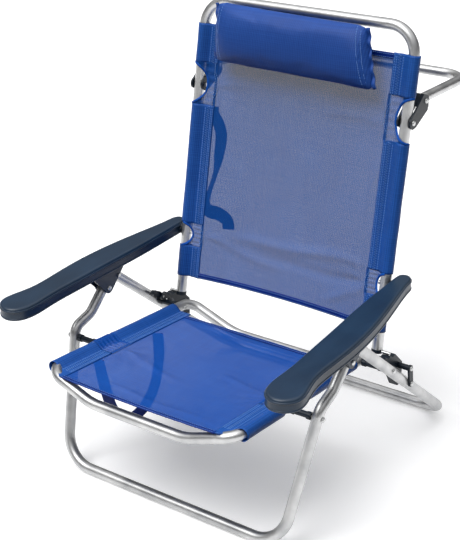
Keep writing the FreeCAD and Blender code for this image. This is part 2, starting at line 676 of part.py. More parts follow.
def pivot_fasteners():
    gap = size("face_gap")
    outer = size("leg_x") + size("tube_radius") + gap + size("cheek_thick")
    inner = size("leg_x") - size("tube_radius") - gap - size("cheek_thick")
    rear = Vector(0, size("rear_top_y"), size("rear_top_z"))
    pair("rear_leg_bolts", bolt(rear, outer, inner), rear)
    front = Vector(0, size("front_top_y"), size("front_top_z"))
    heads = Part.makeCompound([dome(front, outer, 1), dome(front, inner, -1)])
    pair("front_leg_rivets", heads, front)
    hinge = back_point(size("back_pivot"))
    nut_face = size("back_x") - size("tube_radius")
    wall_in = size("arm_pivot_x") + size("arm_wall")
    pair("armrest_bolts", bolt(hinge, wall_in + 0.2, nut_face), hinge)
    washer_end = size("arm_pivot_x") - 1.4
    washer = cross_bar(hinge, nut_face + 2 * size("tube_radius") + 0.3, washer_end, 7.0)
    washer = washer.cut(cross_bar(hinge, nut_face, washer_end + 1, size("bolt_radius") + 0.1))
    pair("armrest_washers", washer, hinge)
    seat_pins = (("seat_front", seat_front_pivot()), ("seat_rear", rear_point(size("seat_rear_y"))))
    for name, point in seat_pins:
        seat_in = size("seat_x") - size("tube_radius")
        seat_out = size("seat_x") + size("tube_radius")
        lean = 0.7 if name == "seat_front" else 0.0
        leg_out = size("leg_x") + size("tube_radius") + lean
        pair(name + "_bolts", bolt(point, leg_out, seat_in), point)
        tube_in = size("leg_x") - size("tube_radius") - gap - lean
        spacer = cross_bar(point, seat_out + gap, tube_in, 7.0)
        waist = cross_bar(point, seat_out + 8.0, tube_in - 8.0, 9.0).cut(
            cross_bar(point, seat_out, tube_in, 5.6))
        spacer = spacer.cut(waist)
        spacer = spacer.cut(cross_bar(point, seat_in, leg_out, size("bolt_radius") + 0.1))
        pair(name + "_spacers", spacer, point)


def bracket_cheek(x_from):
    """Side plate of a handle bracket, broad at the top where the handle turns."""
    low = back_point(size("bracket_foot"))
    high = Vector(0, size("loop_pivot_y"), size("loop_pivot_z"))
    stop = high + Vector(0, 3.0, -17.0)
    thick = size("bracket_thick")
    outline = [
        low + Vector(0, -8.0, 6.0), high + Vector(0, -16.0, 8.0), high + Vector(0, -8.0, 14.5),
        high + Vector(0, 3.0, 10.5), high + Vector(0, 9.5, 3.0), stop + Vector(0, 7.0, 0.0),
        low + Vector(0, 12.0, -10.0), low + Vector(0, 0.0, -12.0),
    ]
    points = [Vector(x_from, p.y, p.z) for p in outline]
    plate = Part.Face(Part.makePolygon(points + [points[0]])).extrude(Vector(thick, 0, 0))
    plate = plate.fuse([cross_bar(low, x_from, x_from + thick, 10.5), cross_bar(high, x_from, x_from + thick, 10.5)])
    thumb = stop + Vector(0, 9.0, 0)
    return plate.cut(cross_bar(thumb, x_from - 1, x_from + thick + 1, 4.5)).removeSplitter()


def bracket_web(x_from, x_to):
    """Wall that joins the two cheeks along their front and top."""
    high = Vector(0, size("loop_pivot_y"), size("loop_pivot_z"))
    outer = [high + Vector(0, -29.0, -2.7), high + Vector(0, -16.0, 8.0), high + Vector(0, -8.0, 14.5)]
    inner = [p + Vector(0, 1.4, -1.7) for p in reversed(outer)]
    points = [Vector(x_from, p.y, p.z) for p in outer + inner]
    return Part.Face(Part.makePolygon(points + [points[0]])).extrude(Vector(x_to - x_from, 0, 0))


def handle_brackets():
    """Channels riveted to the backrest tubes, carrying the handle pivot."""
    low = back_point(size("bracket_foot"))
    high = Vector(0, size("loop_pivot_y"), size("loop_pivot_z"))
    centre = size("back_x")
    thick = size("bracket_thick")
    near = centre + size("tube_radius") + 0.3
    far = centre - size("tube_radius") - 0.3
    bridge_at = low.add(high) * 0.5 + Vector(0, 4.5, -12.0)
    bridge = cross_bar(bridge_at, far - 0.1, near + 0.1, 3.5)
    body = bracket_cheek(near).fuse([bracket_cheek(far - thick), bridge, bracket_web(far - 0.1, near + 0.1)])
    for point in (low, high):
        body = body.cut(cross_bar(point, far - thick - 1, near + thick + 1, size("bolt_radius")))
    add_shape("handle_bracket_right", body, at(low, centre))
    add_shape("handle_bracket_left", mirrored(body), at(low, -centre))
    pair("bracket_rivets", bolt(low, near + thick, far - thick), low)
    pair("handle_rivets", bolt(high, near + thick, far - thick), high)


def teardrop(length):
    """Doubled sleeve section on local XZ: tube wrap and flat web, run along Y."""
    gap = size("cloth_gap")
    outer = size("tube_radius") + gap + size("cloth_thick")
    seam = size("tube_radius") + gap + size("cloth_thick") - size("sleeve_width")
    slope = math.acos(outer / -seam)
    upper = Vector(-outer * math.cos(slope), 0, outer * math.sin(slope))
    lower = Vector(upper.x, 0, -upper.z)
    points = [upper, Vector(seam, 0, size("cloth_thick")), Vector(seam, 0, -size("cloth_thick")), lower]
    web = Part.Face(Part.makePolygon(points + [points[0]])).extrude(Vector(0, length, 0))
    wrap = Part.makeCylinder(outer, length, Vector(0, 0, 0), Vector(0, 1, 0))
    bore = Part.makeCylinder(outer - size("cloth_thick"), length, Vector(0, 0, 0), Vector(0, 1, 0))
    return web.fuse(wrap).removeSplitter().cut(bore)


def moon(along, chord, depth):
    """Half-moon cutter at the outer edge of a sleeve, centred along it."""
    radius = (chord * chord / 4.0 + depth * depth) / (2.0 * depth)
    edge = size("tube_radius") + size("cloth_gap") + size("cloth_thick")
    centre = Vector(edge - depth + radius, along, -60.0)
    return Part.makeCylinder(radius, 120.0, centre, Vector(0, 0, 1))


def backrest_cloth():
    low = size("sleeve_low")
    tall = size("sleeve_high") - low
    sleeve = teardrop(tall)
    cuts = [moon(size("back_pivot") - low, 74.0, 31.0), moon(size("bracket_foot") + 8.0 - low, 112.0, 33.0)]
    for cutter in cuts:
        sleeve = sleeve.cut(cutter)
    base = back_point(low)
    turn = Rotation(Vector(1, 0, 0), size("back_angle"))
    place = Placement(Vector(size("back_x"), base.y, base.z), turn)
    sleeve.transformShape(place.toMatrix(), True)
    add_shape("backrest_sleeve_right", sleeve, place)
    left = Placement(Vector(-size("back_x"), base.y, base.z), turn)
    add_shape("backrest_sleeve_left", mirrored(sleeve), left)
    edge = size("tube_radius") + size("cloth_gap") + size("cloth_thick") - size("sleeve_width")
    half = size("back_x") + edge - 0.3
    thick = size("panel_thick")
    panel = doc.addObject("Part::Box", "backrest_panel")
    panel.Label = "backrest_panel"
    inset = "(Sheet.back_x + Sheet.tube_radius + Sheet.cloth_gap + Sheet.cloth_thick - Sheet.sleeve_width - 0.3)"
    panel.setExpression("Length", "2 * " + inset)
    panel.setExpression("Width", "Sheet.sleeve_high - Sheet.sleeve_low")
    panel.setExpression("Height", "Sheet.panel_thick")
    corner = Vector(-half, base.y, base.z) + Vector(0, back_axis().z, -back_axis().y) * (thick / 2)
    panel.Placement = Placement(corner, turn)


def seat_cloth():
    front = seat_side(size("seat_front_corner_y") + 36.0, 0.0)
    rear = seat_side(-34.0, 0.0)
    length = rear.sub(front).Length
    sleeve = teardrop(length)
    pivot_at = seat_front_pivot().sub(front).Length
    sleeve = sleeve.cut(moon(pivot_at, 66.0, 31.0))
    angle = math.degrees(math.atan2(rear.z - front.z, rear.y - front.y))
    turn = Rotation(Vector(1, 0, 0), angle)
    place = Placement(Vector(size("seat_x"), front.y, front.z), turn)
    sleeve.transformShape(place.toMatrix(), True)
    add_shape("seat_sleeve_right", sleeve, place)
    left = Placement(Vector(-size("seat_x"), front.y, front.z), turn)
    add_shape("seat_sleeve_left", mirrored(sleeve), left)
    edge = size("tube_radius") + size("cloth_gap") + size("cloth_thick") - size("sleeve_width")
    half = size("seat_x") + edge - 0.3
    thick = size("panel_thick")
    panel = doc.addObject("Part::Box", "seat_panel")
    panel.Label = "seat_panel"
    panel.Length = 2 * half
    panel.Width = length
    panel.setExpression("Height", "Sheet.panel_thick")
    normal = turn.multVec(Vector(0, 0, 1))
    panel.Placement = Placement(Vector(-half, front.y, front.z) - normal * (thick / 2), turn)


def headrest():
    """Padded roll in front of the top of the back, with a flap passed behind it."""
    high = size("pillow_height")
    deep = size("pillow_depth")
    long = size("pillow_length")
    middle = back_point(size("back_length") - high / 2 + 1.0, -(deep / 2 + size("pillow_gap")))
    turn = Rotation(Vector(1, 0, 0), size("back_angle"))
    place = Placement(middle, turn)
    oval = Part.Ellipse(Vector(0, 0, 0), high / 2, deep / 2)
    face = Part.Face(Part.Wire(oval.toShape()))
    axes = Rotation(Vector(0, 1, 0), Vector(0, 0, 1), Vector(1, 0, 0), "ZXY")
    face.transformShape(Placement(Vector(-long / 2, 0, 0), axes).toMatrix(), True)
    roll = face.extrude(Vector(long, 0, 0))
    roll = roll.makeFillet(14.0, [e for e in roll.Edges if e.BoundBox.XLength < 0.5])
    roll.transformShape(place.toMatrix(), True)
    add_shape("headrest_pillow", roll, place)
    half = size("flap_half")
    thick = size("flap_thick")
    fold_at = back_point(size("back_length") - size("flap_drop"))
    leaf = Part.makeBox(2 * half, size("flap_length"), thick)
    leaf.translate(Vector(-half, -size("flap_length"), -size("flap_gap") - thick))
    tongue = Part.makeBox(2 * half, thick, size("flap_gap") + thick + 6.2)
    tongue.translate(Vector(-half, -thick, -size("flap_gap") - thick))
    flap = leaf.fuse(tongue).removeSplitter()
    flap.transformShape(Placement(fold_at, turn).toMatrix(), True)
    add_shape("headrest_flap", flap, at(fold_at))


def band(points, wide_axis):
    """Flat webbing along a polyline, thick in the polyline's own plane."""
    width = size("strap_width")
    thick = size("strap_thick")
    wire = Part.BSplineCurve()
    wire.interpolate(points)
    path = Part.Wire(wire.toShape())
    start = points[0]
    way = wire.tangent(wire.FirstParameter)[0]
    across = wide_axis
    normal = way.cross(across).normalize()
    corners = [
        start + across * (width / 2) + normal * (thick / 2),
        start - across * (width / 2) + normal * (thick / 2),
        start - across * (width / 2) - normal * (thick / 2),
        start + across * (width / 2) - normal * (thick / 2),
    ]
    ring = Part.makePolygon(corners + [corners[0]])
    shell = Part.BRepOffsetAPI.MakePipeShell(path)
    shell.setBiNormalMode(across)
    shell.add(ring)
    shell.build()
    shell.makeSolid()
    return shell.shape()


def carry_straps():
    """Webbing handles: one behind the back, one under the seat."""
    rows = [
        (134.0, 2.4), (148.0, 2.9), (180.0, 8.0), (209.0, 14.0), (262.0, 19.0),
        (310.0, 14.0), (333.0, 7.5), (348.0, 2.9), (360.0, 2.4),
    ]
    points = []
    for along, behind in rows:
        spot = back_point(along, behind)
        points.append(Vector(-size("strap_x"), spot.y, spot.z))
    strap = band(points, Vector(1, 0, 0))
    add_shape("backrest_strap", strap, at(points[0], -size("strap_x")))
    side = -size("seat_x") + 34.0
    front = seat_side(-272.0, side)
    rows = [
        (0.0, size("strap_sink") - size("tube_radius")), (4.0, -41.0), (15.0, -88.0), (28.0, -113.0),
        (51.0, -137.0), (82.0, -142.0), (114.0, -132.0), (143.0, -102.0), (158.0, -56.0),
        (161.0, size("strap_sink") - size("tube_radius")),
    ]
    level = seat_side(-271.0, side).sub(front).normalize()
    hang = [front + level * along + Vector(0, 0, down) for along, down in rows]
    strap = band(hang, Vector(1, 0, 0))
    add_shape("seat_strap", strap, at(hang[0], side))


def check_and_export():
    doc.recompute()
    os.makedirs("parts", exist_ok=True)
    nodes = []
    for item in doc.Objects:
        if "Invalid" in item.State or "Error" in item.State:
            raise RuntimeError("not built: " + item.Name)
        is_part = item.TypeId in ("PartDesign::Body", "Part::Feature", "Part::Box")
        if is_part and item.Label == item.Name:
            nodes.append(item)
    for item in nodes:
        shape = item.Shape
        if shape.isNull() or not shape.isValid():
            raise RuntimeError("bad shape: " + item.Name)
        if shape.Volume <= 0:
            raise RuntimeError("empty shape: " + item.Name)
        shape.exportStep(os.path.join("parts", item.Label + ".step"))
        print("%-26s solids %d volume %.0f" % (item.Label, len(shape.Solids), shape.Volume))


rear_leg_frame()
front_leg_frame()
seat_frame()
backrest_frame()
handle_loop()
armrests()
recline_parts()
release_levers()
backrest_feet()
pivot_fasteners()
handle_brackets()
backrest_cloth()
seat_cloth()
headrest()
carry_straps()
check_and_export()
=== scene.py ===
import json
import math

import bmesh
import bpy
import numpy as np
from mathutils import Matrix, Vector, noise

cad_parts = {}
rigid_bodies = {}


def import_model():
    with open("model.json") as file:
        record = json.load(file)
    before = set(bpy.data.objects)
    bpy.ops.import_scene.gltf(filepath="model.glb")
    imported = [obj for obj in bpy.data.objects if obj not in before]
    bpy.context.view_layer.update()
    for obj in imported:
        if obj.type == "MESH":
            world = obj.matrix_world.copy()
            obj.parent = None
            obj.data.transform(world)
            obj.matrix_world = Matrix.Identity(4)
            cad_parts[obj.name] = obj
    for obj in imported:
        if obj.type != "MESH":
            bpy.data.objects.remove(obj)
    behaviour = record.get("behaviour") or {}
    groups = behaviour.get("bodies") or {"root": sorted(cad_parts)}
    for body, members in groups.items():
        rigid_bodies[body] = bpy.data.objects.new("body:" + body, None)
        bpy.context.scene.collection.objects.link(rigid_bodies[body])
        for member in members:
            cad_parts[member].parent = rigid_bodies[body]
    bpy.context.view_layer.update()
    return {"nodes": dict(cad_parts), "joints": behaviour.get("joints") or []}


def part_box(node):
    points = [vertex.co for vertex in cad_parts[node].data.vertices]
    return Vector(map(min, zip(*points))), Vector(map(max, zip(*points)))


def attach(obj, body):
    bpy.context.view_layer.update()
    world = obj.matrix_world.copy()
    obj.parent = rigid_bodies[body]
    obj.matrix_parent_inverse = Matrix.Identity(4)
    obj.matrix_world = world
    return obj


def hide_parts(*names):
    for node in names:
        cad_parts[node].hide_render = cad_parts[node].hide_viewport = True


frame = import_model()
MM = 0.001

scene = bpy.context.scene
for old in [o for o in bpy.data.objects if o.name in ("Cube", "Light", "Camera")]:
    bpy.data.objects.remove(old)
NODES = frame["nodes"]
JOINTS = {joint["name"]: joint for joint in frame["joints"]}


# ---------------------------------------------------------------- materials
class Shader:
    """A Principled material with a few helpers for its procedural nodes."""

    def __init__(self, name):
        self.material = bpy.data.materials.new(name)
        self.material.use_nodes = True
        self.tree = self.material.node_tree
        self.bsdf = self.tree.nodes["Principled BSDF"]

    def set(self, **values):
        for key, value in values.items():
            self.bsdf.inputs[key.replace("_", " ")].default_value = value

    def node(self, kind, **values):
        made = self.tree.nodes.new(kind)
        for key, value in values.items():
            setattr(made, key, value)
        return made

    def link(self, source, target):
        self.tree.links.new(source, target)

    def coords(self, kind="Object", scale=(1, 1, 1)):
        source = self.node("ShaderNodeTexCoord").outputs[kind]
        mapping = self.node("ShaderNodeMapping")
        mapping.inputs["Scale"].default_value = scale
        self.link(source, mapping.inputs["Vector"])
        return mapping.outputs["Vector"]

    def noise(self, vector, scale, detail=2.0, rough=0.5):
        made = self.node("ShaderNodeTexNoise")
        made.inputs["Scale"].default_value = scale
        made.inputs["Detail"].default_value = detail
        made.inputs["Roughness"].default_value = rough
        self.link(vector, made.inputs["Vector"])
        return made.outputs["Fac"]

    def math(self, operation, a, b=0.0, c=0.0):
        made = self.node("ShaderNodeMath", operation=operation)
        for socket, value in zip(made.inputs, (a, b, c)):
            if isinstance(value, (int, float)):
                socket.default_value = value
            else:
                self.link(value, socket)
        return made.outputs[0]

    def ramp(self, fac, stops):
        made = self.node("ShaderNodeValToRGB")
        bar = made.color_ramp
        while len(bar.elements) < len(stops):
            bar.elements.new(0.5)
        for element, (place, colour) in zip(bar.elements, stops):
            element.position = place
            element.color = (*colour, 1)
        self.link(fac, made.inputs["Fac"])
        return made.outputs["Color"]

    def span(self, fac, low, high):
        made = self.node("ShaderNodeMapRange")
        made.inputs["To Min"].default_value = low
        made.inputs["To Max"].default_value = high
        self.link(fac, made.inputs["Value"])
        return made.outputs["Result"]

    def bump(self, height, strength, distance):
        made = self.node("ShaderNodeBump")
        made.inputs["Strength"].default_value = strength
        made.inputs["Distance"].default_value = distance
        self.link(height, made.inputs["Height"])
        self.link(made.outputs["Normal"], self.bsdf.inputs["Normal"])


RIB = 3.6 * MM                   # spacing of the heavier yarns
RIB_SHARE = 0.12                 # how much those yarns add to the unevenness
YARN_SCALES = ((330, 9, 9), (11, 300, 11))    # thick and thin places along each yarn direction


def threads(shader, vector, pitch):
    """Crown heights (0 to 1) of the warp and weft threads of a woven cloth."""
    split = shader.node("ShaderNodeSeparateXYZ")
    shader.link(vector, split.inputs[0])
    crowns = []
    for socket in ("X", "Y"):
        turn = shader.math("MULTIPLY", split.outputs[socket], 2 * math.pi / pitch)
        wave = shader.math("SINE", turn)
        crowns.append(shader.math("MULTIPLY_ADD", wave, 0.5, 0.5))
    return crowns


def cloth(name, dark, light, pitch, open_depth=0.0, rough=0.5, slub=0.22, specular=0.2):
    """Coated polyester weave with uneven yarn, with painted highlight on the thread crowns and painted shade
    in the dips between them. open_depth above 0 lets light through its holes.
    """
    made = Shader(name)
    vector = made.coords("UV")
    warp, weft = threads(made, vector, pitch)
    crown = made.math("MAXIMUM", warp, weft)
    lengthwise, crosswise = [made.noise(made.coords("UV", scale), 1.0, 2.0, 0.6)
                             for scale in YARN_SCALES]
    patch = made.noise(vector, 9.0, 2.0)
    uneven = made.math("SUBTRACT", made.math("ADD", lengthwise, crosswise), 1.0)
    ends, picks = threads(made, vector, RIB)
    ribs = made.math("ADD", made.math("SUBTRACT", ends, 0.5),
                     made.math("MULTIPLY_ADD", picks, 0.4, -0.2))
    uneven = made.math("ADD", made.math("MULTIPLY", uneven, slub),
                       made.math("MULTIPLY", ribs, RIB_SHARE))
    # painted light: the thread crowns are painted lighter and the dips between threads darker, as highlight
    # and shade on the weave
    tone = made.math("MULTIPLY_ADD", uneven, 1.5, made.math("MULTIPLY", crown, 0.22))
    tone = made.math("ADD", tone, made.math("MULTIPLY_ADD", patch, 0.30, 0.18))
    made.link(made.ramp(tone, [(0.10, dark), (0.90, light)]), made.bsdf.inputs["Base Color"])
    made.link(made.span(patch, rough - 0.06, rough + 0.08), made.bsdf.inputs["Roughness"])
    made.set(Specular_IOR_Level=specular)
    made.bump(made.math("ADD", crown, made.math("MULTIPLY", uneven, 2.0)), 0.35, 0.4 * MM)
    if open_depth:
        hole = made.math("MULTIPLY", made.math("SUBTRACT", 1.0, warp),
                         made.math("SUBTRACT", 1.0, weft))
        facing = made.node("ShaderNodeLayerWeight")
        facing.inputs["Blend"].default_value = 0.30
        clear = made.math("MULTIPLY_ADD", facing.outputs["Facing"], -0.7, 1.0)
        loose = made.math("MULTIPLY_ADD", uneven, 3.2, 1.0)
        gap = made.math("MULTIPLY", made.math("MULTIPLY", hole, open_depth),
                        made.math("MULTIPLY", clear, loose))
        alpha = made.math("SUBTRACT", 1.0, made.math("MAXIMUM", gap, 0.0))
        made.link(alpha, made.bsdf.inputs["Alpha"])
    return made.material


def aluminium(name):
    """Satin anodised tube: a fine drawn grain over soft clouding."""
    made = Shader(name)
    vector = made.coords()
    cloud = made.noise(vector, 26.0, 3.0)
    grain = made.noise(made.coords("Object", (1, 0.12, 0.12)), 1500.0, 3.0, 0.6)
    colour = made.ramp(cloud, [(0.3, (0.43, 0.435, 0.44)), (0.7, (0.64, 0.64, 0.635))])
    made.link(colour, made.bsdf.inputs["Base Color"])
    blend = made.math("MULTIPLY_ADD", grain, 0.6, made.math("MULTIPLY", cloud, 0.4))
    made.link(made.span(blend, 0.30, 0.52), made.bsdf.inputs["Roughness"])
    made.set(Metallic=1.0)
    made.bump(grain, 0.14, 0.2 * MM)
    return made.material


def steel(name):
    """Zinc-plated fastener with a mottled shine."""
    made = Shader(name)
    cloud = made.noise(made.coords(), 900.0, 4.0)
    made.link(made.ramp(cloud, [(0.3, (0.42, 0.43, 0.44)), (0.75, (0.72, 0.72, 0.70))]),
              made.bsdf.inputs["Base Color"])
    made.link(made.span(cloud, 0.2, 0.45), made.bsdf.inputs["Roughness"])
    made.set(Metallic=1.0)
    made.bump(cloud, 0.2, 0.2 * MM)
    return made.material


def plastic(name, dark, light, rough, grain_size=0.7 * MM, shine=0.5):
    """Moulded plastic with a fine spark-eroded grain and slight scuffing."""
    made = Shader(name)
    vector = made.coords()
    grain = made.noise(vector, 1.0 / grain_size, 3.0, 0.6)
    scuff = made.noise(made.coords("Object", (60, 9, 60)), 1.0, 4.0, 0.65)
    cloud = made.noise(vector, 14.0, 2.0)
    tone = made.math("MULTIPLY_ADD", grain, 0.30, made.math("MULTIPLY", cloud, 0.45))
    tone = made.math("ADD", tone, made.math("MULTIPLY", scuff, 0.25))
    made.link(made.ramp(tone, [(0.32, dark), (0.68, light)]), made.bsdf.inputs["Base Color"])
    made.link(made.span(scuff, rough - 0.07, rough + 0.09), made.bsdf.inputs["Roughness"])
    made.set(Specular_IOR_Level=shine)
    made.bump(grain, 0.22, 0.3 * MM)
    return made.material


MESH_PITCH = 1.6 * MM            # thread spacing of the stretched mesh

MATERIALS = {
    "tube": aluminium("satin_aluminium"),
    "fastener": steel("zinc_fastener"),
    "back_mesh": cloth("back_mesh_cloth", (0.001, 0.034, 0.18), (0.006, 0.110, 0.46), MESH_PITCH,
                       open_depth=0.38, slub=0.13),
    "seat_mesh": cloth("seat_mesh_cloth", (0.001, 0.036, 0.24), (0.004, 0.110, 0.50), MESH_PITCH,
                       open_depth=0.25),
    "sleeve_cloth": cloth("sleeve_cloth", (0.003, 0.032, 0.18), (0.030, 0.160, 0.60), MESH_PITCH,
                          rough=0.42),
    "hem": cloth("hem_cloth", (0.0005, 0.010, 0.12), (0.002, 0.032, 0.27), MESH_PITCH, rough=0.45),
    "pillow_cloth": cloth("pillow_cloth", (0.003, 0.027, 0.17), (0.026, 0.118, 0.50), 1.2 * MM,
                          rough=0.44, slub=0.16, specular=0.24),
    "binding": cloth("binding_tape", (0.001, 0.05, 0.33), (0.006, 0.13, 0.58), 1.1 * MM),
    "webbing": cloth("strap_webbing", (0.0005, 0.014, 0.16), (0.002, 0.046, 0.42), 2.1 * MM),
    "thread": cloth("sewing_thread", (0.10, 0.24, 0.62), (0.22, 0.42, 0.82), 0.6 * MM, rough=0.45),
    "arm_plastic": plastic("armrest_plastic", (0.007, 0.021, 0.044), (0.013, 0.039, 0.080), 0.36),
    "fitting_plastic": plastic("fitting_plastic", (0.003, 0.007, 0.014), (0.009, 0.018, 0.032), 0.38,
                               grain_size=0.5 * MM, shine=0.3),
}


def paint(obj, key):
    obj.data.materials.clear()
    obj.data.materials.append(MATERIALS[key])


# ------------------------------------------------------------------ geometry
def make_mesh(name, verts, faces, uvs):
    data = bpy.data.meshes.new(name)
    data.from_pydata([tuple(v) for v in verts], [], faces)
    layer = data.uv_layers.new(name="UVMap")
    for loop in data.loops:
        layer.data[loop.index].uv = uvs[loop.vertex_index]
    data.validate()
    data.polygons.foreach_set("use_smooth", [True] * len(data.polygons))
    obj = bpy.data.objects.new(name, data)
    scene.collection.objects.link(obj)
    return obj


class Build:
    """Collects vertices, faces and cloth coordinates for one piece."""

    def __init__(self):
        self.verts, self.faces, self.uvs = [], [], []

    def add(self, point, uv):
        self.verts.append(Vector(point))
        self.uvs.append(uv)
        return len(self.verts) - 1

    def grid(self, rows, cols, point, wrap=False):
        """point(i, j) gives (place, uv); rows and cols count the divisions."""
        first = len(self.verts)
        across = cols if wrap else cols + 1
        for i in range(rows + 1):
            for j in range(across):
                self.add(*point(i, j))
        for i in range(rows):
            for j in range(cols):
                k = (j + 1) % across
                a = first + i * across
                b = a + across
                self.faces.append((a + j, a + k, b + k, b + j))

    def tube(self, path, ring, closed=False):
        """Sweep ring (list of (side, up)) along path of (place, side, up, uv)."""
        first, count = len(self.verts), len(ring)
        for place, side, up, uv in path:
            for s, u in ring:
                self.add(place + side * s + up * u, (uv[0] + s, uv[1]))
        steps = len(path) if closed else len(path) - 1
        for i in range(steps):
            a = first + i * count
            b = first + ((i + 1) % len(path)) * count
            for j in range(count):
                k = (j + 1) % count
                self.faces.append((a + j, b + j, b + k, a + k))
        if not closed:
            last = first + (len(path) - 1) * count
            self.faces.append(tuple(first + j for j in range(count)))
            self.faces.append(tuple(last + j for j in reversed(range(count))))

    def piece(self, name, key, body):
        """Finish the mesh, paint it and let it ride on its body."""
        obj = make_mesh(name, self.verts, self.faces, self.uvs)
        paint(obj, key)
        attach(obj, body)
        return obj


def oval(half_wide, half_thick, count):
    """Closed ring for Build.tube."""
    turns = [2 * math.pi * k / count for k in range(count)]
    return [(half_wide * math.cos(t), half_thick * math.sin(t)) for t in turns]


def framed(points, up_hint):
    """Turn (place, uv) points into (place, side, up, uv) with steady axes."""
    out = []
    for i, (place, uv) in enumerate(points):
        before = points[max(i - 1, 0)][0]
        after = points[min(i + 1, len(points) - 1)][0]
        way = (after - before).normalized()
        hint = up_hint[i] if isinstance(up_hint, list) else up_hint
        side = way.cross(hint).normalized()
        out.append((place, side, side.cross(way).normalized(), uv))
    return out


def solidify(obj, thickness):
    """Give cloth its thickness, as part of the mesh."""
    made = obj.modifiers.new("Cloth thickness", "SOLIDIFY")
    made.thickness = thickness
    made.offset = 0.0
    made.use_even_offset = False
    apply_modifiers(obj)


def apply_modifiers(obj):
    """Replace the mesh by its shape with all modifiers on."""
    graph = bpy.context.evaluated_depsgraph_get()
    data = bpy.data.meshes.new_from_object(obj.evaluated_get(graph), depsgraph=graph)
    obj.modifiers.clear()
    obj.data = data


class Panel:
    """A stretched cloth plane: across (X), along a pair of tubes, and normal."""

    def __init__(self, body, pivot, pivot_at, along, tube_x, inner_x, face):
        self.body = body
        self.along = Vector(along).normalized()
        self.face = Vector(face).normalized()      # towards the sitter
        self.origin = Vector(pivot) - self.along * pivot_at
        self.origin.x = 0.0
        self.tube_x = tube_x
        self.inner_x = inner_x

    def at(self, x, s, n=0.0):
        return self.origin + Vector((x, 0, 0)) + self.along * s + self.face * n


RADIUS = 10.0 * MM
WRAP = 11.1 * MM                 # sleeve cloth mid-surface round the tube
WEB = 0.75 * MM                  # half gap between the two sewn layers
FOLD = 17.0 * MM                 # tube centre to where the layers part


def wrap_height(x_from_tube):
    """Height of the front cloth layer at a place across, from the tube centre."""
    if x_from_tube < -FOLD:
        return WEB
    part = math.acos(WRAP / FOLD)
    tangent = -WRAP * math.cos(part)
    if x_from_tube < tangent:
        share = (x_from_tube + FOLD) / (tangent + FOLD)
        return WEB + share * (WRAP * math.sin(part) - WEB)
    return math.sqrt(max(WRAP * WRAP - x_from_tube * x_from_tube, 0.0))


def sleeve_section(inner):
    """Closed section (across from tube centre, height) of a doubled sleeve."""
    part = math.acos(WRAP / FOLD)
    web = [(inner + (-FOLD - inner) * k / 7, WEB) for k in range(8)]
    slope = [(-FOLD + (FOLD - WRAP * math.cos(part)) * k / 4,
              WEB + (WRAP * math.sin(part) - WEB) * k / 4) for k in range(1, 4)]
    start = math.pi - part
    turns = [start - 2 * start * k / 22 for k in range(23)]
    arc = [(WRAP * math.cos(turn), WRAP * math.sin(turn)) for turn in turns]
    back = [(x, -h) for x, h in reversed(web + slope)]
    return web + slope + arc + back


class Notch:
    """Half-moon cut in a sleeve, from s0 to s1 along, to deep_x across."""

    def __init__(self, panel, s0, s1, deep_x):
        self.low, self.high = s0, s1
        self.middle = (s0 + s1) / 2
        outer = panel.tube_x + WRAP
        depth, half = outer - deep_x, (s1 - s0) / 2
        self.radius = (half * half + depth * depth) / (2 * depth)
        self.centre = deep_x + self.radius
        self.outer = outer

    def edge(self, s):
        """Place across of the cut edge at s."""
        inside = self.radius ** 2 - (s - self.middle) ** 2
        return min(self.centre - math.sqrt(max(inside, 0.0)), self.outer)


def clamp(value):
    return min(max(value, 0.0), 1.0)


def wrinkle(x, s, spots):
    """Small pulls in the mesh that fan out from the notches."""
    total = 0.0
    for px, ps, reach, power in spots:
        dx, ds = x - px, s - ps
        r = math.hypot(dx, ds)
        fan = math.atan2(ds, -dx if px > 0 else dx)
        ripple = math.cos(fan * 7.0 + 1.3 * math.sin(ps * 40)) * math.cos(fan * 2.3)
        total += power * ripple * math.exp(-r / reach) * min(r / 0.02, 1.0)
    return total


def crease(x, s, lines):
    """Soft fold lines: each runs between two places on the cloth."""
    total = 0.0
    for (xa, sa), (xb, sb), wide, power in lines:
        run = math.hypot(xb - xa, sb - sa)
        along = ((x - xa) * (xb - xa) + (s - sa) * (sb - sa)) / run
        away = ((x - xa) * (sb - sa) - (s - sa) * (xb - xa)) / run
        away += 3 * MM * math.sin(along * 30)
        fade = clamp(along / (0.25 * run)) * clamp((run - along) / (0.25 * run))
        total += power * fade * math.exp(-(away / wide) ** 2)
    return total


MESH_COLUMNS, MESH_ROWS = 130, 150
TAB_COLUMNS, TAB_ROWS = 18, 40
TAB_LAP = 2 * MM                 # how far a tab runs past its notch and under the sleeve


def mesh_sheet(name, panel, s0, s1, hem, notches, spots, lines, sag):
    """The single-layer mesh between the sleeves, with tabs round the notches."""
    build = Build()
    half = panel.inner_x + 4 * MM

    def inner(i, j):
        u = 2 * j / MESH_COLUMNS - 1
        s = s0 + (s1 - s0) * i / MESH_ROWS
        x = u * half
        end = hem(u) * (1 - i / MESH_ROWS)
        bow = sag * (1 - u * u) * math.sin(math.pi * (i / MESH_ROWS)) ** 0.7
        rim = 1 - abs(u) ** 12
        n = -bow + (wrinkle(x, s, spots) + crease(x, s, lines)) * rim
        n += 0.35 * MM * noise.noise(Vector((x * 22, s * 9, 3.1))) * rim
        return panel.at(x, s + end, n), (x, s)

    build.grid(MESH_ROWS, MESH_COLUMNS, inner)
    for side in (-1, 1):
        for notch in notches:

            def tab(i, j, notch=notch, side=side):
                s = notch.low - TAB_LAP + (notch.high - notch.low + 2 * TAB_LAP) * i / TAB_ROWS
                edge = notch.edge(s)
                start = panel.inner_x - TAB_LAP
                share = j / TAB_COLUMNS
                x = start + (edge - start) * share
                n = wrap_height(x - panel.tube_x) + 0.1 * MM
                pucker = 0.7 * MM * math.sin(share * math.pi) * math.sin(i * 0.9 + 2 * side)
                return panel.at(side * x, s, n + pucker), (side * x, s)

            build.grid(TAB_ROWS, TAB_COLUMNS, tab)
    return build.piece(name, name, panel.body)


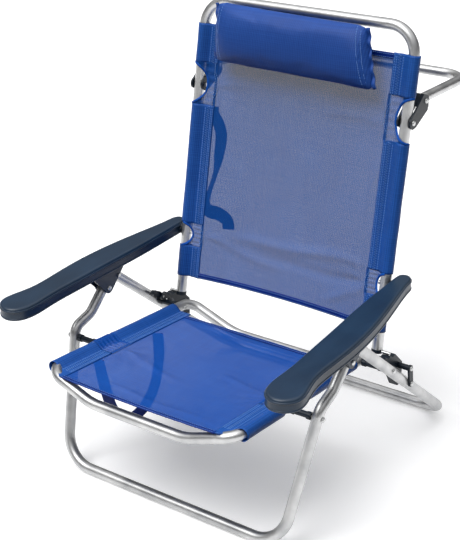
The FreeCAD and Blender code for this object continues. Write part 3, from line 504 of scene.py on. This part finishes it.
def sleeves(name, panel, spans, side, lead=0.0):
    """Doubled cloth sleeve round a side tube; its web starts lead further out.

    Returns the piece and its flat size: round the section, and along the spans.
    """
    build = Build()
    section = sleeve_section(panel.inner_x - panel.tube_x)
    length = sum(math.hypot(xb - xa, hb - ha) for (xa, ha), (xb, hb) in zip(section, section[1:]))
    for s0, s1 in spans:
        rows = max(int((s1 - s0) / (4 * MM)), 6)

        def point(i, j, s0=s0, s1=s1, rows=rows):
            s = s0 + (s1 - s0) * i / rows
            x, h = section[j]
            web = clamp((-FOLD - x) / (10 * MM))
            if s0 == spans[0][0]:
                s -= lead * clamp((-WRAP - x) / (20 * MM)) * (1 - i / rows)
            pucker = 0.35 * MM * math.sin(s * 900 + side) * math.sin(s * 310) * web
            loose = 0.45 * MM * noise.noise(Vector((x * 60 + side * 5, s * 26, h * 60))) * (1 - web)
            grow = 1 + loose / WRAP
            end = 0.8 * MM * noise.noise(Vector((x * 90, s0 * 10, side))) if i in (0, rows) else 0
            place = panel.at(side * (panel.tube_x + x * grow), s + end, h * grow + pucker)
            return place, (x + 0.3 * h, s)

        build.grid(rows, len(section) - 1, point)
    obj = build.piece(name, "sleeve_cloth", panel.body)
    solidify(obj, 0.8 * MM)
    return obj, (length, sum(s1 - s0 for s0, s1 in spans))


STITCH, STITCH_GAP, THREAD = 3.2 * MM, 1.3 * MM, 0.6 * MM
HEM_STITCH, HEM_GAP, HEM_THREAD = 3.0 * MM, 1.2 * MM, 0.42 * MM
ZIGZAG_WIDE, ZIGZAG_PITCH = 6.5 * MM, 4.4 * MM


def thread_paths(build, points, normal, stitch, gap, radius):
    """Lock stitches: short raised threads along a line of places."""
    travelled, marks = 0.0, [0.0]
    for a, b in zip(points, points[1:]):
        travelled += (b - a).length
        marks.append(travelled)
    xs = np.array([[p.x, p.y, p.z] for p in points])

    def where(d):
        return Vector([float(np.interp(d, marks, xs[:, k])) for k in range(3)])

    ring = oval(radius, radius, 5)
    at = 0.0
    while at + stitch < travelled:
        a, m, b = where(at), where(at + stitch / 2), where(at + stitch)
        sunk, raised = normal * radius * 0.6, normal * radius * 0.5
        path = [(a - sunk, (0, at)), (m + raised, (0, at)), (b - sunk, (0, at))]
        build.tube(framed(path, normal), ring)
        at += stitch + gap


def zigzag(build, panel, side, x, s0, s1, wide, pitch, height, radius):
    """A zigzag row of thread on the sleeve web."""
    count = max(int((s1 - s0) / pitch) * 2, 2)
    path = []
    for k in range(count + 1):
        s = s0 + (s1 - s0) * k / count
        across = x + (wide / 2 if k % 2 else -wide / 2)
        path.append((panel.at(side * across, s, height), (across, s)))
    build.tube(framed(path, panel.face), oval(radius, radius * 0.7, 5))


def stitching(name, panel, spans, notches, side, rows_at, zig_at):
    """All thread on one sleeve: straight rows, a zigzag, and a double row round each notch."""
    build = Build()
    lift = WEB + 0.6 * MM
    for x in rows_at:
        for a, b in spans:
            start, run = a + 2 * MM, b - a - 4 * MM
            line = [panel.at(side * x, start + run * k / 40, lift) for k in range(41)]
            thread_paths(build, line, panel.face, STITCH, STITCH_GAP, THREAD)
    for a, b in spans:
        zigzag(build, panel, side, zig_at, a + 2 * MM, b - 2 * MM, ZIGZAG_WIDE, ZIGZAG_PITCH, lift, THREAD)
    for notch in notches:
        for inset in (19 * MM, 24 * MM):
            line = []
            for k in range(61):
                s = notch.low - 3 * MM + (notch.high - notch.low + 6 * MM) * k / 60
                x = min(notch.edge(s) - inset, rows_at[0] + 2 * MM)
                line.append(panel.at(side * x, s, 1.4 * MM))
            thread_paths(build, line, panel.face, STITCH, STITCH_GAP, THREAD)
    return build.piece(name, "thread", panel.body)


def bindings(name, panel, notches, side):
    """Bright tape folded over each half-moon edge."""
    build = Build()
    for notch in notches:
        points, ups = [], []
        for k in range(65):
            turn = math.pi * k / 64
            s = notch.middle - (notch.high - notch.low) / 2 * math.cos(turn)
            x = notch.edge(s)
            n = wrap_height(x - panel.tube_x) + 0.4 * MM
            points.append((panel.at(side * x, s, n), (x, s)))
            out = Vector((side * max(x - panel.tube_x, 0.0), 0, 0)) / RADIUS
            ups.append((panel.face + out * 0.9).normalized())
        build.tube(framed(points, ups), oval(2.3 * MM, 1.0 * MM, 10))
    return build.piece(name, "binding", panel.body)


HEM_WIDE = 11 * MM


def hem_strip(name, panel, s_edge, into, half, bend):
    """Turned and sewn hem: a doubled strip along one end of the mesh, with its stitches."""
    build = Build()
    points = []
    for k in range(91):
        u = 2 * k / 90 - 1
        x = u * half
        s = s_edge + bend(u) + into * HEM_WIDE / 2
        ripple = 0.25 * MM * math.sin(u * 160)
        ripple += 0.5 * MM * noise.noise(Vector((u * 9, s_edge * 5, 1)))
        points.append((panel.at(x, s, ripple), (x, s)))
    build.tube(framed(points, panel.face), oval(HEM_WIDE / 2, 1.15 * MM, 12))
    strip = build.piece(name, "hem", panel.body)
    stitches = Build()
    for offset in (0.22, -0.30):
        shift = panel.along * offset * HEM_WIDE + panel.face * 1.2 * MM
        line = [place + shift for place, _uv in points]
        thread_paths(stitches, line, panel.face, HEM_STITCH, HEM_GAP, HEM_THREAD)
    return strip, stitches.piece(name + "_stitches", "thread", panel.body)


# --------------------------------------------------------------- soft planes
def joint_at(name):
    return Vector(JOINTS[name]["pos_m"])


def across_of(node):
    """Tube centre line across, from the node's box."""
    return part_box(node)[1].x - RADIUS


def slab_along(node):
    """Direction of a flat panel node from front or low to rear or high."""
    points = np.array([v.co for v in NODES[node].data.vertices], float)
    points = points[:, 1:] - points[:, 1:].mean(0)
    _u, _s, axes = np.linalg.svd(points, full_matrices=False)
    way = axes[0] * (1 if axes[0][0] + axes[0][1] > 0 else -1)
    return Vector((0, way[0], way[1]))


BACK_WAY = slab_along("backrest_panel")
SEAT_WAY = slab_along("seat_panel")
BACK_FACE = Vector((0, -BACK_WAY.z, BACK_WAY.y))
SEAT_FACE = Vector((0, -SEAT_WAY.z, SEAT_WAY.y))
RECLINE_AT, LEG_TURN_AT = 123.6 * MM, 137.2 * MM     # joints, measured along their panels
BACK_INNER, SEAT_INNER = 185 * MM, 161 * MM          # centre to where the sleeves start
BACK = Panel("backrest", joint_at("backrest_recline"), RECLINE_AT, BACK_WAY,
             across_of("backrest_frame"), BACK_INNER, BACK_FACE)
SEAT = Panel("seat", joint_at("front_leg_turn"), LEG_TURN_AT, SEAT_WAY,
             across_of("seat_frame"), SEAT_INNER, SEAT_FACE)


# ------------------------------------------------------------ backrest cloth
HEM_LOW, HEM_HIGH, BACK_HEM_HALF = 38 * MM, 531 * MM, 188 * MM
BACK_SAG = 4 * MM
BACK_STITCH_ROWS, BACK_ZIGZAG = (187.5 * MM, 191 * MM, 204.5 * MM), 197.5 * MM
BACK_NOTCHES = [Notch(BACK, 97 * MM, 143 * MM, 207 * MM), Notch(BACK, 379 * MM, 459 * MM, 204 * MM)]
BACK_SPANS = [(34 * MM, 97 * MM), (143 * MM, 379 * MM), (459 * MM, 533 * MM)]

# Pulls beside each sleeve: along in metres, then reach and height in mm.
BACK_PULLS = ((0.120, 52, 1.9), (0.419, 60, 1.5), (0.052, 40, 0.8), (0.526, 50, 0.9))
BACK_SPOTS = [(side * 182 * MM, place, reach * MM, power * MM)
              for side in (-1, 1) for place, reach, power in BACK_PULLS]

# Folds from one (across, along) to another in metres, with their width and height.
BACK_LINES = [
    ((-0.140, 0.128), (0.220, 0.152), 10 * MM, 4.0 * MM),
    ((-0.060, 0.104), (0.220, 0.114), 9 * MM, -2.6 * MM),
    ((-0.220, 0.130), (0.020, 0.088), 8 * MM, 2.2 * MM),
    ((0.210, 0.130), (0.090, 0.050), 8 * MM, 2.4 * MM),
    ((0.040, 0.404), (0.220, 0.414), 9 * MM, 3.2 * MM),
    ((0.100, 0.480), (0.210, 0.425), 8 * MM, 2.2 * MM),
    ((0.168, 0.220), (0.190, 0.420), 6 * MM, 2.0 * MM),
    ((-0.220, 0.410), (-0.080, 0.440), 9 * MM, 2.2 * MM),
]


def low_bend(u):
    """The backrest's lower edge rises towards its middle."""
    return -6 * MM * u * u + 4 * MM


def no_bend(_u):
    return 0.0


back_mesh = mesh_sheet("back_mesh", BACK, HEM_LOW, HEM_HIGH, low_bend, BACK_NOTCHES,
                       BACK_SPOTS, BACK_LINES, BACK_SAG)
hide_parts("backrest_panel")
back_pieces = []
for side, word in ((-1, "left"), (1, "right")):
    sleeve, flat = sleeves("back_sleeve_" + word, BACK, BACK_SPANS, side)
    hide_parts("backrest_sleeve_" + word)
    sewn = stitching("back_stitching_" + word, BACK, BACK_SPANS, BACK_NOTCHES, side,
                     BACK_STITCH_ROWS, BACK_ZIGZAG)
    tape = bindings("back_binding_" + word, BACK, BACK_NOTCHES, side)
    back_pieces.append(tape)
back_pieces += hem_strip("back_hem_low", BACK, HEM_LOW - 2 * MM, 1, BACK_HEM_HALF, low_bend)
back_pieces += hem_strip("back_hem_top", BACK, HEM_HIGH + 1 * MM, -1, BACK_HEM_HALF, no_bend)


# ---------------------------------------------------------------- seat cloth
SEAT_LOW, SEAT_HIGH, SEAT_HEM_HALF = -12 * MM, 346 * MM, 164 * MM
SEAT_SAG = 9 * MM
SEAT_STITCH_ROWS, SEAT_ZIGZAG = (163.5 * MM, 167 * MM, 182.5 * MM), 174.5 * MM
SEAT_NOTCHES = [Notch(SEAT, 121 * MM, 173 * MM, 207 * MM)]
SEAT_SPANS = [(11 * MM, 121 * MM), (173 * MM, 357 * MM)]
SEAT_PULLS = ((0.148, 55, 1.8), (0.0, 45, 1.0), (0.345, 45, 1.0))
SEAT_SPOTS = [(side * 160 * MM, place, reach * MM, power * MM)
              for side in (-1, 1) for place, reach, power in SEAT_PULLS]
SEAT_LINES = [
    ((-0.190, 0.150), (0.010, 0.120), 9 * MM, 2.6 * MM),
    ((0.190, 0.150), (0.020, 0.190), 9 * MM, 2.4 * MM),
    ((-0.150, 0.330), (0.100, 0.322), 8 * MM, 2.2 * MM),
    ((-0.120, 0.030), (0.140, 0.020), 9 * MM, 2.0 * MM),
]


def seat_bend(u):
    """The seat's front edge bows forward in its middle."""
    return -5 * MM * (1 - u * u)


seat_mesh = mesh_sheet("seat_mesh", SEAT, SEAT_LOW, SEAT_HIGH, seat_bend, SEAT_NOTCHES,
                       SEAT_SPOTS, SEAT_LINES, SEAT_SAG)
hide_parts("seat_panel")
seat_pieces = []
for side, word in ((-1, "left"), (1, "right")):
    sleeve, flat = sleeves("seat_sleeve_cloth_" + word, SEAT, SEAT_SPANS, side, lead=21 * MM)
    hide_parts("seat_sleeve_" + word)
    sewn = stitching("seat_stitching_" + word, SEAT, SEAT_SPANS, SEAT_NOTCHES, side,
                     SEAT_STITCH_ROWS, SEAT_ZIGZAG)
    tape = bindings("seat_binding_" + word, SEAT, SEAT_NOTCHES, side)
    seat_pieces.append(tape)
seat_pieces += hem_strip("seat_hem_front", SEAT, SEAT_LOW - 1 * MM, 1, SEAT_HEM_HALF, seat_bend)
seat_pieces += hem_strip("seat_hem_rear", SEAT, SEAT_HIGH + 1 * MM, -1, SEAT_HEM_HALF, no_bend)


# ------------------------------------------------------------------ headrest
PILLOW_LONG, PILLOW_HIGH, PILLOW_DEEP = 167 * MM, 57 * MM, 27 * MM     # half sizes of the roll
PILLOW_LIFT = PILLOW_DEEP + 3.5 * MM           # its middle, off the mesh
PILLOW_SHEAR = 2.5 * MM                        # its right end sits this much lower, the left higher
SLANT = {-1: 0.07, 1: 0.25}                    # lean of the left and right ends
PILLOW_CENTRE = BACK.at(-8 * MM, 522 * MM, PILLOW_LIFT)


def end_reach(side, tall):
    """Half length of the roll at a height: its ends slant."""
    return PILLOW_LONG - side * SLANT[side] * tall


def pillow_start():
    """Flat-sided pillow case: sewn shut at both ends, full in the middle."""
    build = Build()
    stations, around = 60, 44

    def point(i, j):
        u = 2 * i / stations - 1
        turn = 2 * math.pi * j / around
        shut = max(1 - abs(u) ** 9, 0.0) ** 0.5
        tall = math.cos(turn) * PILLOW_HIGH * (0.90 + 0.10 * shut)
        deep = math.sin(turn) * PILLOW_DEEP * (0.10 + 0.78 * shut)
        across = Vector((u * end_reach(1 if u > 0 else -1, tall), 0, 0))
        place = PILLOW_CENTRE + across + BACK.along * (tall - PILLOW_SHEAR * u) + BACK.face * deep
        return place, (u * PILLOW_LONG, turn)

    build.grid(stations, around, point, wrap=True)
    for i in (0, stations):
        row = [i * around + j for j in range(around)]
        build.faces.append(tuple(row if i else reversed(row)))
    return build


CLOTH_STIFFNESS, CLOTH_BENDING, CLOTH_QUALITY = 22, 0.9, 5


def inflate(obj, voxel, pressure, frames, cap):
    """Fill the case with air by cloth simulation; no point moves past cap."""
    remesh = obj.modifiers.new("Remesh", "REMESH")
    remesh.mode = "VOXEL"
    remesh.voxel_size = voxel
    apply_modifiers(obj)
    rest = np.array([v.co for v in obj.data.vertices])
    made = obj.modifiers.new("Cloth", "CLOTH")
    made.settings.use_pressure = True
    made.settings.uniform_pressure_force = pressure
    made.settings.effector_weights.gravity = 0.0
    made.settings.tension_stiffness = CLOTH_STIFFNESS
    made.settings.compression_stiffness = CLOTH_STIFFNESS
    made.settings.bending_stiffness = CLOTH_BENDING
    made.settings.quality = CLOTH_QUALITY
    made.point_cache.frame_start = 1
    made.point_cache.frame_end = frames
    for step in range(1, frames + 1):
        scene.frame_set(step)
    graph = bpy.context.evaluated_depsgraph_get()
    shown = obj.evaluated_get(graph).to_mesh()
    moved = np.array([v.co for v in shown.vertices])
    obj.evaluated_get(graph).to_mesh_clear()
    obj.modifiers.clear()
    scene.frame_set(1)
    if moved.shape == rest.shape:
        step = moved - rest
        size = np.linalg.norm(step, axis=1, keepdims=True)
        step *= np.minimum(1.0, cap / np.maximum(size, 1e-9))
        obj.data.vertices.foreach_set("co", (rest + step).ravel())
        obj.data.update()


case = pillow_start()
pillow = make_mesh("headrest_roll", case.verts, case.faces, case.uvs)
inflate(pillow, voxel=5 * MM, pressure=9.0, frames=20, cap=3 * MM)


def lay_cloth(obj):
    """Cloth coordinates of the roll: along its length, and up and out from its middle."""
    layer = obj.data.uv_layers.get("UVMap") or obj.data.uv_layers.new(name="UVMap")
    for loop in obj.data.loops:
        local = obj.data.vertices[loop.vertex_index].co - PILLOW_CENTRE
        s, n = local.dot(BACK.along), local.dot(BACK.face)
        layer.data[loop.index].uv = (local.x, s + 0.4 * n)


def gather(obj):
    """Pull small folds into the sewn ends and settle the back onto the mesh."""
    lowest = 2.2 * MM - PILLOW_LIFT
    for vertex in obj.data.vertices:
        local = vertex.co - PILLOW_CENTRE
        u = local.x / PILLOW_LONG
        s, n = local.dot(BACK.along), local.dot(BACK.face)
        near = max(0.0, (abs(u) - 0.80) / 0.20)
        fold = math.sin(s * 520 + 1.5 * math.sin(s * 130) + (2.0 if u > 0 else 0.0))
        out = BACK.face * (1 if n > 0 else -1)
        vertex.co += out * fold * 1.7 * MM * near ** 1.5 * (1 - 0.6 * near)
        ripple = noise.noise(Vector((local.x * 11, s * 26, n * 20)))
        vertex.co += out * ripple * 1.1 * MM
        if n < lowest:
            vertex.co += BACK.face * (lowest - n) * 0.85
    obj.data.update()


gather(pillow)
subdivide = pillow.modifiers.new("Smooth cloth", "SUBSURF")
subdivide.levels = subdivide.render_levels = 1
apply_modifiers(pillow)
pillow.data.polygons.foreach_set("use_smooth", [True] * len(pillow.data.polygons))
lay_cloth(pillow)
paint(pillow, "pillow_cloth")
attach(pillow, "backrest")
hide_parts("headrest_pillow")


def roll_reach(turns, reach, turn):
    """Distance from the roll's middle to its skin at a turn, smoothed over its neighbours."""
    gap = np.abs((turns - turn + math.pi) % (2 * math.pi) - math.pi)
    weight = np.exp(-(gap / 0.07) ** 2)
    return float((reach * weight).sum() / weight.sum())


def pillow_seams():
    """Two raised rows of stitches round each end, laid on the finished roll."""
    skin = np.array([v.co for v in pillow.data.vertices])
    local = skin - np.array(PILLOW_CENTRE)
    s, n = local @ np.array(BACK.along), local @ np.array(BACK.face)
    build = Build()
    for side in (-1, 1):
        slant = SLANT[side]
        for inset in (13 * MM, 20 * MM):
            x = side * (PILLOW_LONG - inset)
            band = np.abs(local[:, 0] + slant * s - x) < 3.5 * MM
            turns = np.arctan2(n[band], s[band])
            reach = np.hypot(s[band], n[band])
            line = []
            for k in range(73):
                turn = -math.pi + 2 * math.pi * k / 72
                r = roll_reach(turns, reach, turn)
                tall, deep = r * math.cos(turn), r * math.sin(turn)
                place = PILLOW_CENTRE + BACK.along * tall + BACK.face * deep
                place.x = PILLOW_CENTRE.x + x - slant * tall
                line.append(place)
            for a, b in zip(line, line[1:]):
                middle = (a + b) / 2
                out = (middle - Vector((a.x, PILLOW_CENTRE.y, PILLOW_CENTRE.z))).normalized()
                path = [(a + (b - a) * 0.08, (0, 0)), (middle + out * 0.3 * MM, (0, 0)),
                        (a + (b - a) * 0.8, (0, 0))]
                build.tube(framed(path, out), oval(0.5 * MM, 0.45 * MM, 5))
    build.piece("headrest_seams", "thread", "backrest")


pillow_seams()


def end_flanges():
    """The flat sewn edge that closes each end of the roll."""
    build = Build()
    for side in (-1, 1):
        points = []
        for k in range(49):
            v = 2 * k / 48 - 1
            s = v * PILLOW_HIGH * 0.90
            x = side * (end_reach(side, s) - 1.0 * MM - 2.5 * MM * (1 - v * v))
            n = 2.0 * MM * math.sin(v * 14 + side)
            place = PILLOW_CENTRE + Vector((x, 0, 0)) + BACK.face * n
            points.append((place + BACK.along * (s - PILLOW_SHEAR * side), (x, s)))
        build.tube(framed(points, BACK.face), oval(4.2 * MM, 1.5 * MM, 10))
    build.piece("headrest_end_hems", "pillow_cloth", "backrest")


end_flanges()


def hanging_flap():
    """Cloth flap from the roll, passed under the top bar and down behind the mesh."""
    build = Build()
    half = 104 * MM
    behind = 3.2 * MM
    fold = 557 * MM
    drop = 52 * MM
    profile = [(fold, 7.0 * MM), (fold, 3.0 * MM), (fold - 0.3 * MM, 0.0), (fold - 1.5 * MM, -2.4 * MM)]
    profile += [(fold - 3 * MM - drop * k / 16, -behind) for k in range(17)]

    def point(i, j):
        s, n = profile[i]
        u = 2 * j / 48 - 1
        wave = 0.5 * MM * math.sin(u * 23 + s * 60) * clamp((fold - s) / (20 * MM))
        return BACK.at(-2 * MM + u * half, s, n + wave), (u * half, s)

    build.grid(len(profile) - 1, 48, point)
    obj = build.piece("headrest_hanger", "sleeve_cloth", "backrest")
    solidify(obj, 1.2 * MM)
    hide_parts("headrest_flap")


hanging_flap()


# -------------------------------------------------------------------- straps
def catmull(points, per):
    """Smooth curve through points."""
    out = []
    count = len(points)
    for i in range(count - 1):
        a, b = points[max(i - 1, 0)], points[i]
        c, d = points[i + 1], points[min(i + 2, count - 1)]
        for k in range(per):
            t = k / per
            out.append(0.5 * ((2 * b) + (c - a) * t + (2 * a - 5 * b + 4 * c - d) * t * t
                              + (3 * b - a - 3 * c + d) * t ** 3))
    out.append(points[-1].copy())
    return out


STRAP_WIDE, STRAP_THICK = 27 * MM, 1.7 * MM
# Upper side of the strap's section, in shares of its width and thickness.
STRAP_UPPER = [(-0.49, 0.35), (-0.44, 0.5), (-0.25, 0.46), (0, 0.5), (0.25, 0.46), (0.44, 0.5), (0.49, 0.35)]


def webbing(name, rows, panel, node):
    """Flat woven strap; rows are (across, along, off the face, lean, twist), in mm and degrees."""
    line = [panel.at(x * MM, s * MM, n * MM) for x, s, n, _lean, _twist in rows]
    sides = []
    for _x, _s, _n, lean, twist in rows:
        lean, twist = math.radians(lean), math.radians(twist)
        flat = Vector((math.cos(lean), 0, 0)) + panel.along * math.sin(lean)
        sides.append(flat * math.cos(twist) + panel.face * math.sin(twist))
    points = catmull(line, 14)
    across = catmull(sides, 14)
    lower = [(a, -b) for a, b in reversed(STRAP_UPPER)]
    section = [(-0.5, 0)] + STRAP_UPPER + [(0.5, 0)] + lower
    ring = [(a * STRAP_WIDE, b * STRAP_THICK) for a, b in section]
    path, travelled = [], 0.0
    for i, place in enumerate(points):
        way = (points[min(i + 1, len(points) - 1)] - points[max(i - 1, 0)]).normalized()
        side = (across[i] - way * across[i].dot(way)).normalized()
        if i:
            travelled += (place - points[i - 1]).length
        path.append((place, side, side.cross(way), (0, travelled)))
    build = Build()
    build.tube(path, ring)
    obj = build.piece(name, "webbing", panel.body)
    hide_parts(node)


BACK_STRAP = [
    (-190, 378, -2.8, 0, 0), (-188, 364, -4, 8, 0), (-177, 345, -9, 22, 0), (-172, 322, -14, 6, 0),
    (-176, 286, -18, -6, 10), (-181, 246, -18, -8, 38), (-187, 210, -13, -6, 40), (-190, 188, -7, 10, 15),
    (-180, 174, -4.6, 50, 0), (-154, 172, -4.2, 80, 0), (-134, 163, -5.5, 48, 0), (-130, 146, -7, 20, 0),
]
webbing("back_carry_strap", BACK_STRAP, BACK, "backrest_strap")

SEAT_STRAP = [
    (-166, 88, -3.4, 0, 0), (-163, 89, -14, 0, 20), (-158, 92, -41, 0, 30), (-153, 104, -88, 0, 25),
    (-149, 118, -113, 0, 10), (-147, 140, -135, 0, 0), (-147, 172, -140, 0, 0), (-148, 203, -130, 0, 8),
    (-150, 232, -101, 0, 20), (-153, 247, -56, 0, 45), (-157, 250, -16, 0, 25), (-160, 250, -3.4, 0, 0),
]
webbing("seat_carry_strap", SEAT_STRAP, SEAT, "seat_strap")


# ------------------------------------------------------------------ armrests
def rim_loop(node, drop, tilt_way):
    """Outer outline of an armrest, cut by a plane a little below its top."""
    data = bmesh.new()
    data.from_mesh(NODES[node].data)
    bmesh.ops.remove_doubles(data, verts=data.verts, dist=1e-5)
    top = max(v.co.dot(tilt_way) for v in data.verts)
    cut = bmesh.ops.bisect_plane(data, geom=data.verts[:] + data.edges[:] + data.faces[:],
                                 plane_co=tilt_way * (top - drop), plane_no=tilt_way)["geom_cut"]
    edges = [g for g in cut if isinstance(g, bmesh.types.BMEdge)]
    links = {}
    for edge in edges:
        a, b = edge.verts
        links.setdefault(a, []).append(b)
        links.setdefault(b, []).append(a)
    loops, seen = [], set()
    for start in links:
        if start in seen:
            continue
        loop, here, last = [], start, None
        while here is not None and here not in seen:
            seen.add(here)
            loop.append(here.co.copy())
            step = [v for v in links[here] if v is not last and v not in seen]
            last, here = here, (step[0] if step else None)
        loops.append(loop)
    loops.sort(key=lambda pts: sum((a - b).length for a, b in zip(pts, pts[1:])))
    data.free()
    return loops[-1]


def resample(loop, count):
    """Evenly spaced places round a closed loop."""
    pts = np.array([[p.x, p.y, p.z] for p in loop + [loop[0]]])
    marks = np.concatenate([[0], np.cumsum(np.linalg.norm(np.diff(pts, axis=0), axis=1))])
    places = np.linspace(0, marks[-1], count, endpoint=False)
    return [Vector([float(np.interp(d, marks, pts[:, k])) for k in range(3)]) for d in places]


ARMREST_TILT = math.radians(2.2)
BEAD_POINTS = 260
# Drop below the top face, half width and half height of each bead.
BEADS = ((6.2 * MM, 1.5 * MM, 2.1 * MM), (21.0 * MM, 1.1 * MM, 1.7 * MM))


def armrest_beads(word):
    """Two raised beads that ring the armrest: one under its top face, one lower down."""
    up = Vector((0, -math.sin(ARMREST_TILT), math.cos(ARMREST_TILT)))
    build = Build()
    for drop, wide, tall in BEADS:
        loop = resample(rim_loop("armrest_" + word, drop, up), BEAD_POINTS)
        path = []
        for i, place in enumerate(loop):
            way = (loop[(i + 1) % BEAD_POINTS] - loop[i - 1]).normalized()
            side = way.cross(up).normalized()
            path.append((place, side, up, (0, i * 4 * MM)))
        build.tube(path, oval(wide, tall, 10), closed=True)
    build.piece("armrest_bead_" + word, "arm_plastic", "armrests")


armrest_beads("left")
armrest_beads("right")


# ---------------------------------------------------------- CAD nodes' looks
LOOKS = {
    "tube": ("rear_leg_frame", "front_leg_frame", "seat_frame", "backrest_frame", "handle_loop"),
    "arm_plastic": ("armrest_left", "armrest_right"),
    "fastener": ("armrest_bolts", "bracket_rivets", "front_leg_rivets", "handle_rivets", "lever_pins",
                 "plug_screws", "rack_foot_bolts", "rack_pins", "rack_top_bolts", "rear_leg_bolts",
                 "seat_front_bolts", "seat_rear_bolts"),
    "fitting_plastic": ("armrest_washers", "backrest_end_plugs", "handle_bracket_left",
                        "handle_bracket_right", "rack_collars", "rack_strap_left", "rack_strap_right",
                        "recline_rack_left", "recline_rack_right", "release_lever_left",
                        "release_lever_right", "seat_front_spacers", "seat_rear_spacers"),
}
for key, names in LOOKS.items():
    for node_name in names:
        paint(NODES[node_name], key)


# ----------------------------------------------------- floor, light, camera
FLOOR_SIZE, FLOOR_DIVISIONS, FLOOR_DROP = 60.0, 8, 0.5 * MM


def floor_plane():
    build = Build()

    def point(i, j):
        x, y = (k / FLOOR_DIVISIONS * FLOOR_SIZE - FLOOR_SIZE / 2 for k in (j, i))
        return (x, y, -FLOOR_DROP), (j, i)

    build.grid(FLOOR_DIVISIONS, FLOOR_DIVISIONS, point)
    obj = make_mesh("floor", build.verts, build.faces, build.uvs)
    pale = Shader("pale_floor")
    tone = pale.noise(pale.coords(), 0.8, 2.0)
    colour = pale.ramp(tone, [(0.3, (0.93, 0.93, 0.935)), (0.7, (0.95, 0.95, 0.95))])
    pale.link(colour, pale.bsdf.inputs["Base Color"])
    pale.set(Roughness=0.9, Specular_IOR_Level=0.1, Emission_Color=(1, 1, 1, 1), Emission_Strength=0.22)
    obj.data.materials.append(pale.material)
    obj.visible_diffuse = False


floor_plane()


def sky(low, middle, high, strength):
    """Studio surround: dark to some 13 degrees above the horizon, brightest overhead."""
    world = bpy.data.worlds.new("studio")
    scene.world = world
    world.use_nodes = True
    tree = world.node_tree
    back = tree.nodes["Background"]
    place = tree.nodes.new("ShaderNodeTexCoord")
    split = tree.nodes.new("ShaderNodeSeparateXYZ")
    ramp = tree.nodes.new("ShaderNodeValToRGB")
    tree.links.new(place.outputs["Generated"], split.inputs[0])
    tree.links.new(split.outputs["Z"], ramp.inputs["Fac"])
    stops = [(0.0, low), (0.22, low), (0.50, middle), (0.80, high)]
    while len(ramp.color_ramp.elements) < len(stops):
        ramp.color_ramp.elements.new(0.5)
    for element, (at, value) in zip(ramp.color_ramp.elements, stops):
        element.position = at
        element.color = (value, value, value * 1.01, 1)
    tree.links.new(ramp.outputs["Color"], back.inputs["Color"])
    back.inputs["Strength"].default_value = strength


sky(low=0.02, middle=0.27, high=1.12, strength=1.0)


def sun(name, energy, angle, tilt, turn):
    """Sun lamp; its angle, tilt and turn are in degrees."""
    data = bpy.data.lights.new(name, "SUN")
    data.energy = energy
    data.angle = math.radians(angle)
    obj = bpy.data.objects.new(name, data)
    obj.rotation_euler = (math.radians(tilt), 0, math.radians(turn))
    scene.collection.objects.link(obj)


sun("key", energy=2.1, angle=40, tilt=31, turn=-20)

CAMERA_TURN, CAMERA_RISE, CAMERA_ROLL = 35.86, 23.43, -1.14       # degrees
CAMERA_AIM = (0, -0.1125, 0.3454)
CAMERA_AWAY, CAMERA_ASIDE, CAMERA_HIGHER = 2.3188, 0.01444, 0.0897     # metres from the aim
CAMERA_LENS, SENSOR_WIDE = 86.63, 36                              # millimetres
CAMERA_SHIFT = (-0.0044, -0.0485)                                 # share of the picture


def camera():
    """Camera at the photographed angle."""
    az, el, roll = (math.radians(v) for v in (CAMERA_TURN, CAMERA_RISE, CAMERA_ROLL))
    back = Vector((math.sin(az) * math.cos(el), -math.cos(az) * math.cos(el), math.sin(el)))
    right = Vector((math.cos(az), math.sin(az), 0))
    up = back.cross(right)
    turned = right * math.cos(roll) + up * math.sin(roll)
    up = up * math.cos(roll) - right * math.sin(roll)
    place = Vector(CAMERA_AIM) + back * CAMERA_AWAY + turned * CAMERA_ASIDE + up * CAMERA_HIGHER
    data = bpy.data.cameras.new("camera")
    data.lens = CAMERA_LENS
    data.sensor_width = SENSOR_WIDE
    data.shift_x, data.shift_y = CAMERA_SHIFT
    data.clip_end = 100
    obj = bpy.data.objects.new("camera", data)
    axes = Matrix((turned, up, back)).transposed().to_4x4()
    obj.matrix_world = Matrix.Translation(place) @ axes
    scene.collection.objects.link(obj)
    scene.camera = obj


camera()
scene.view_settings.view_transform = "Standard"
scene.view_settings.look = "None"
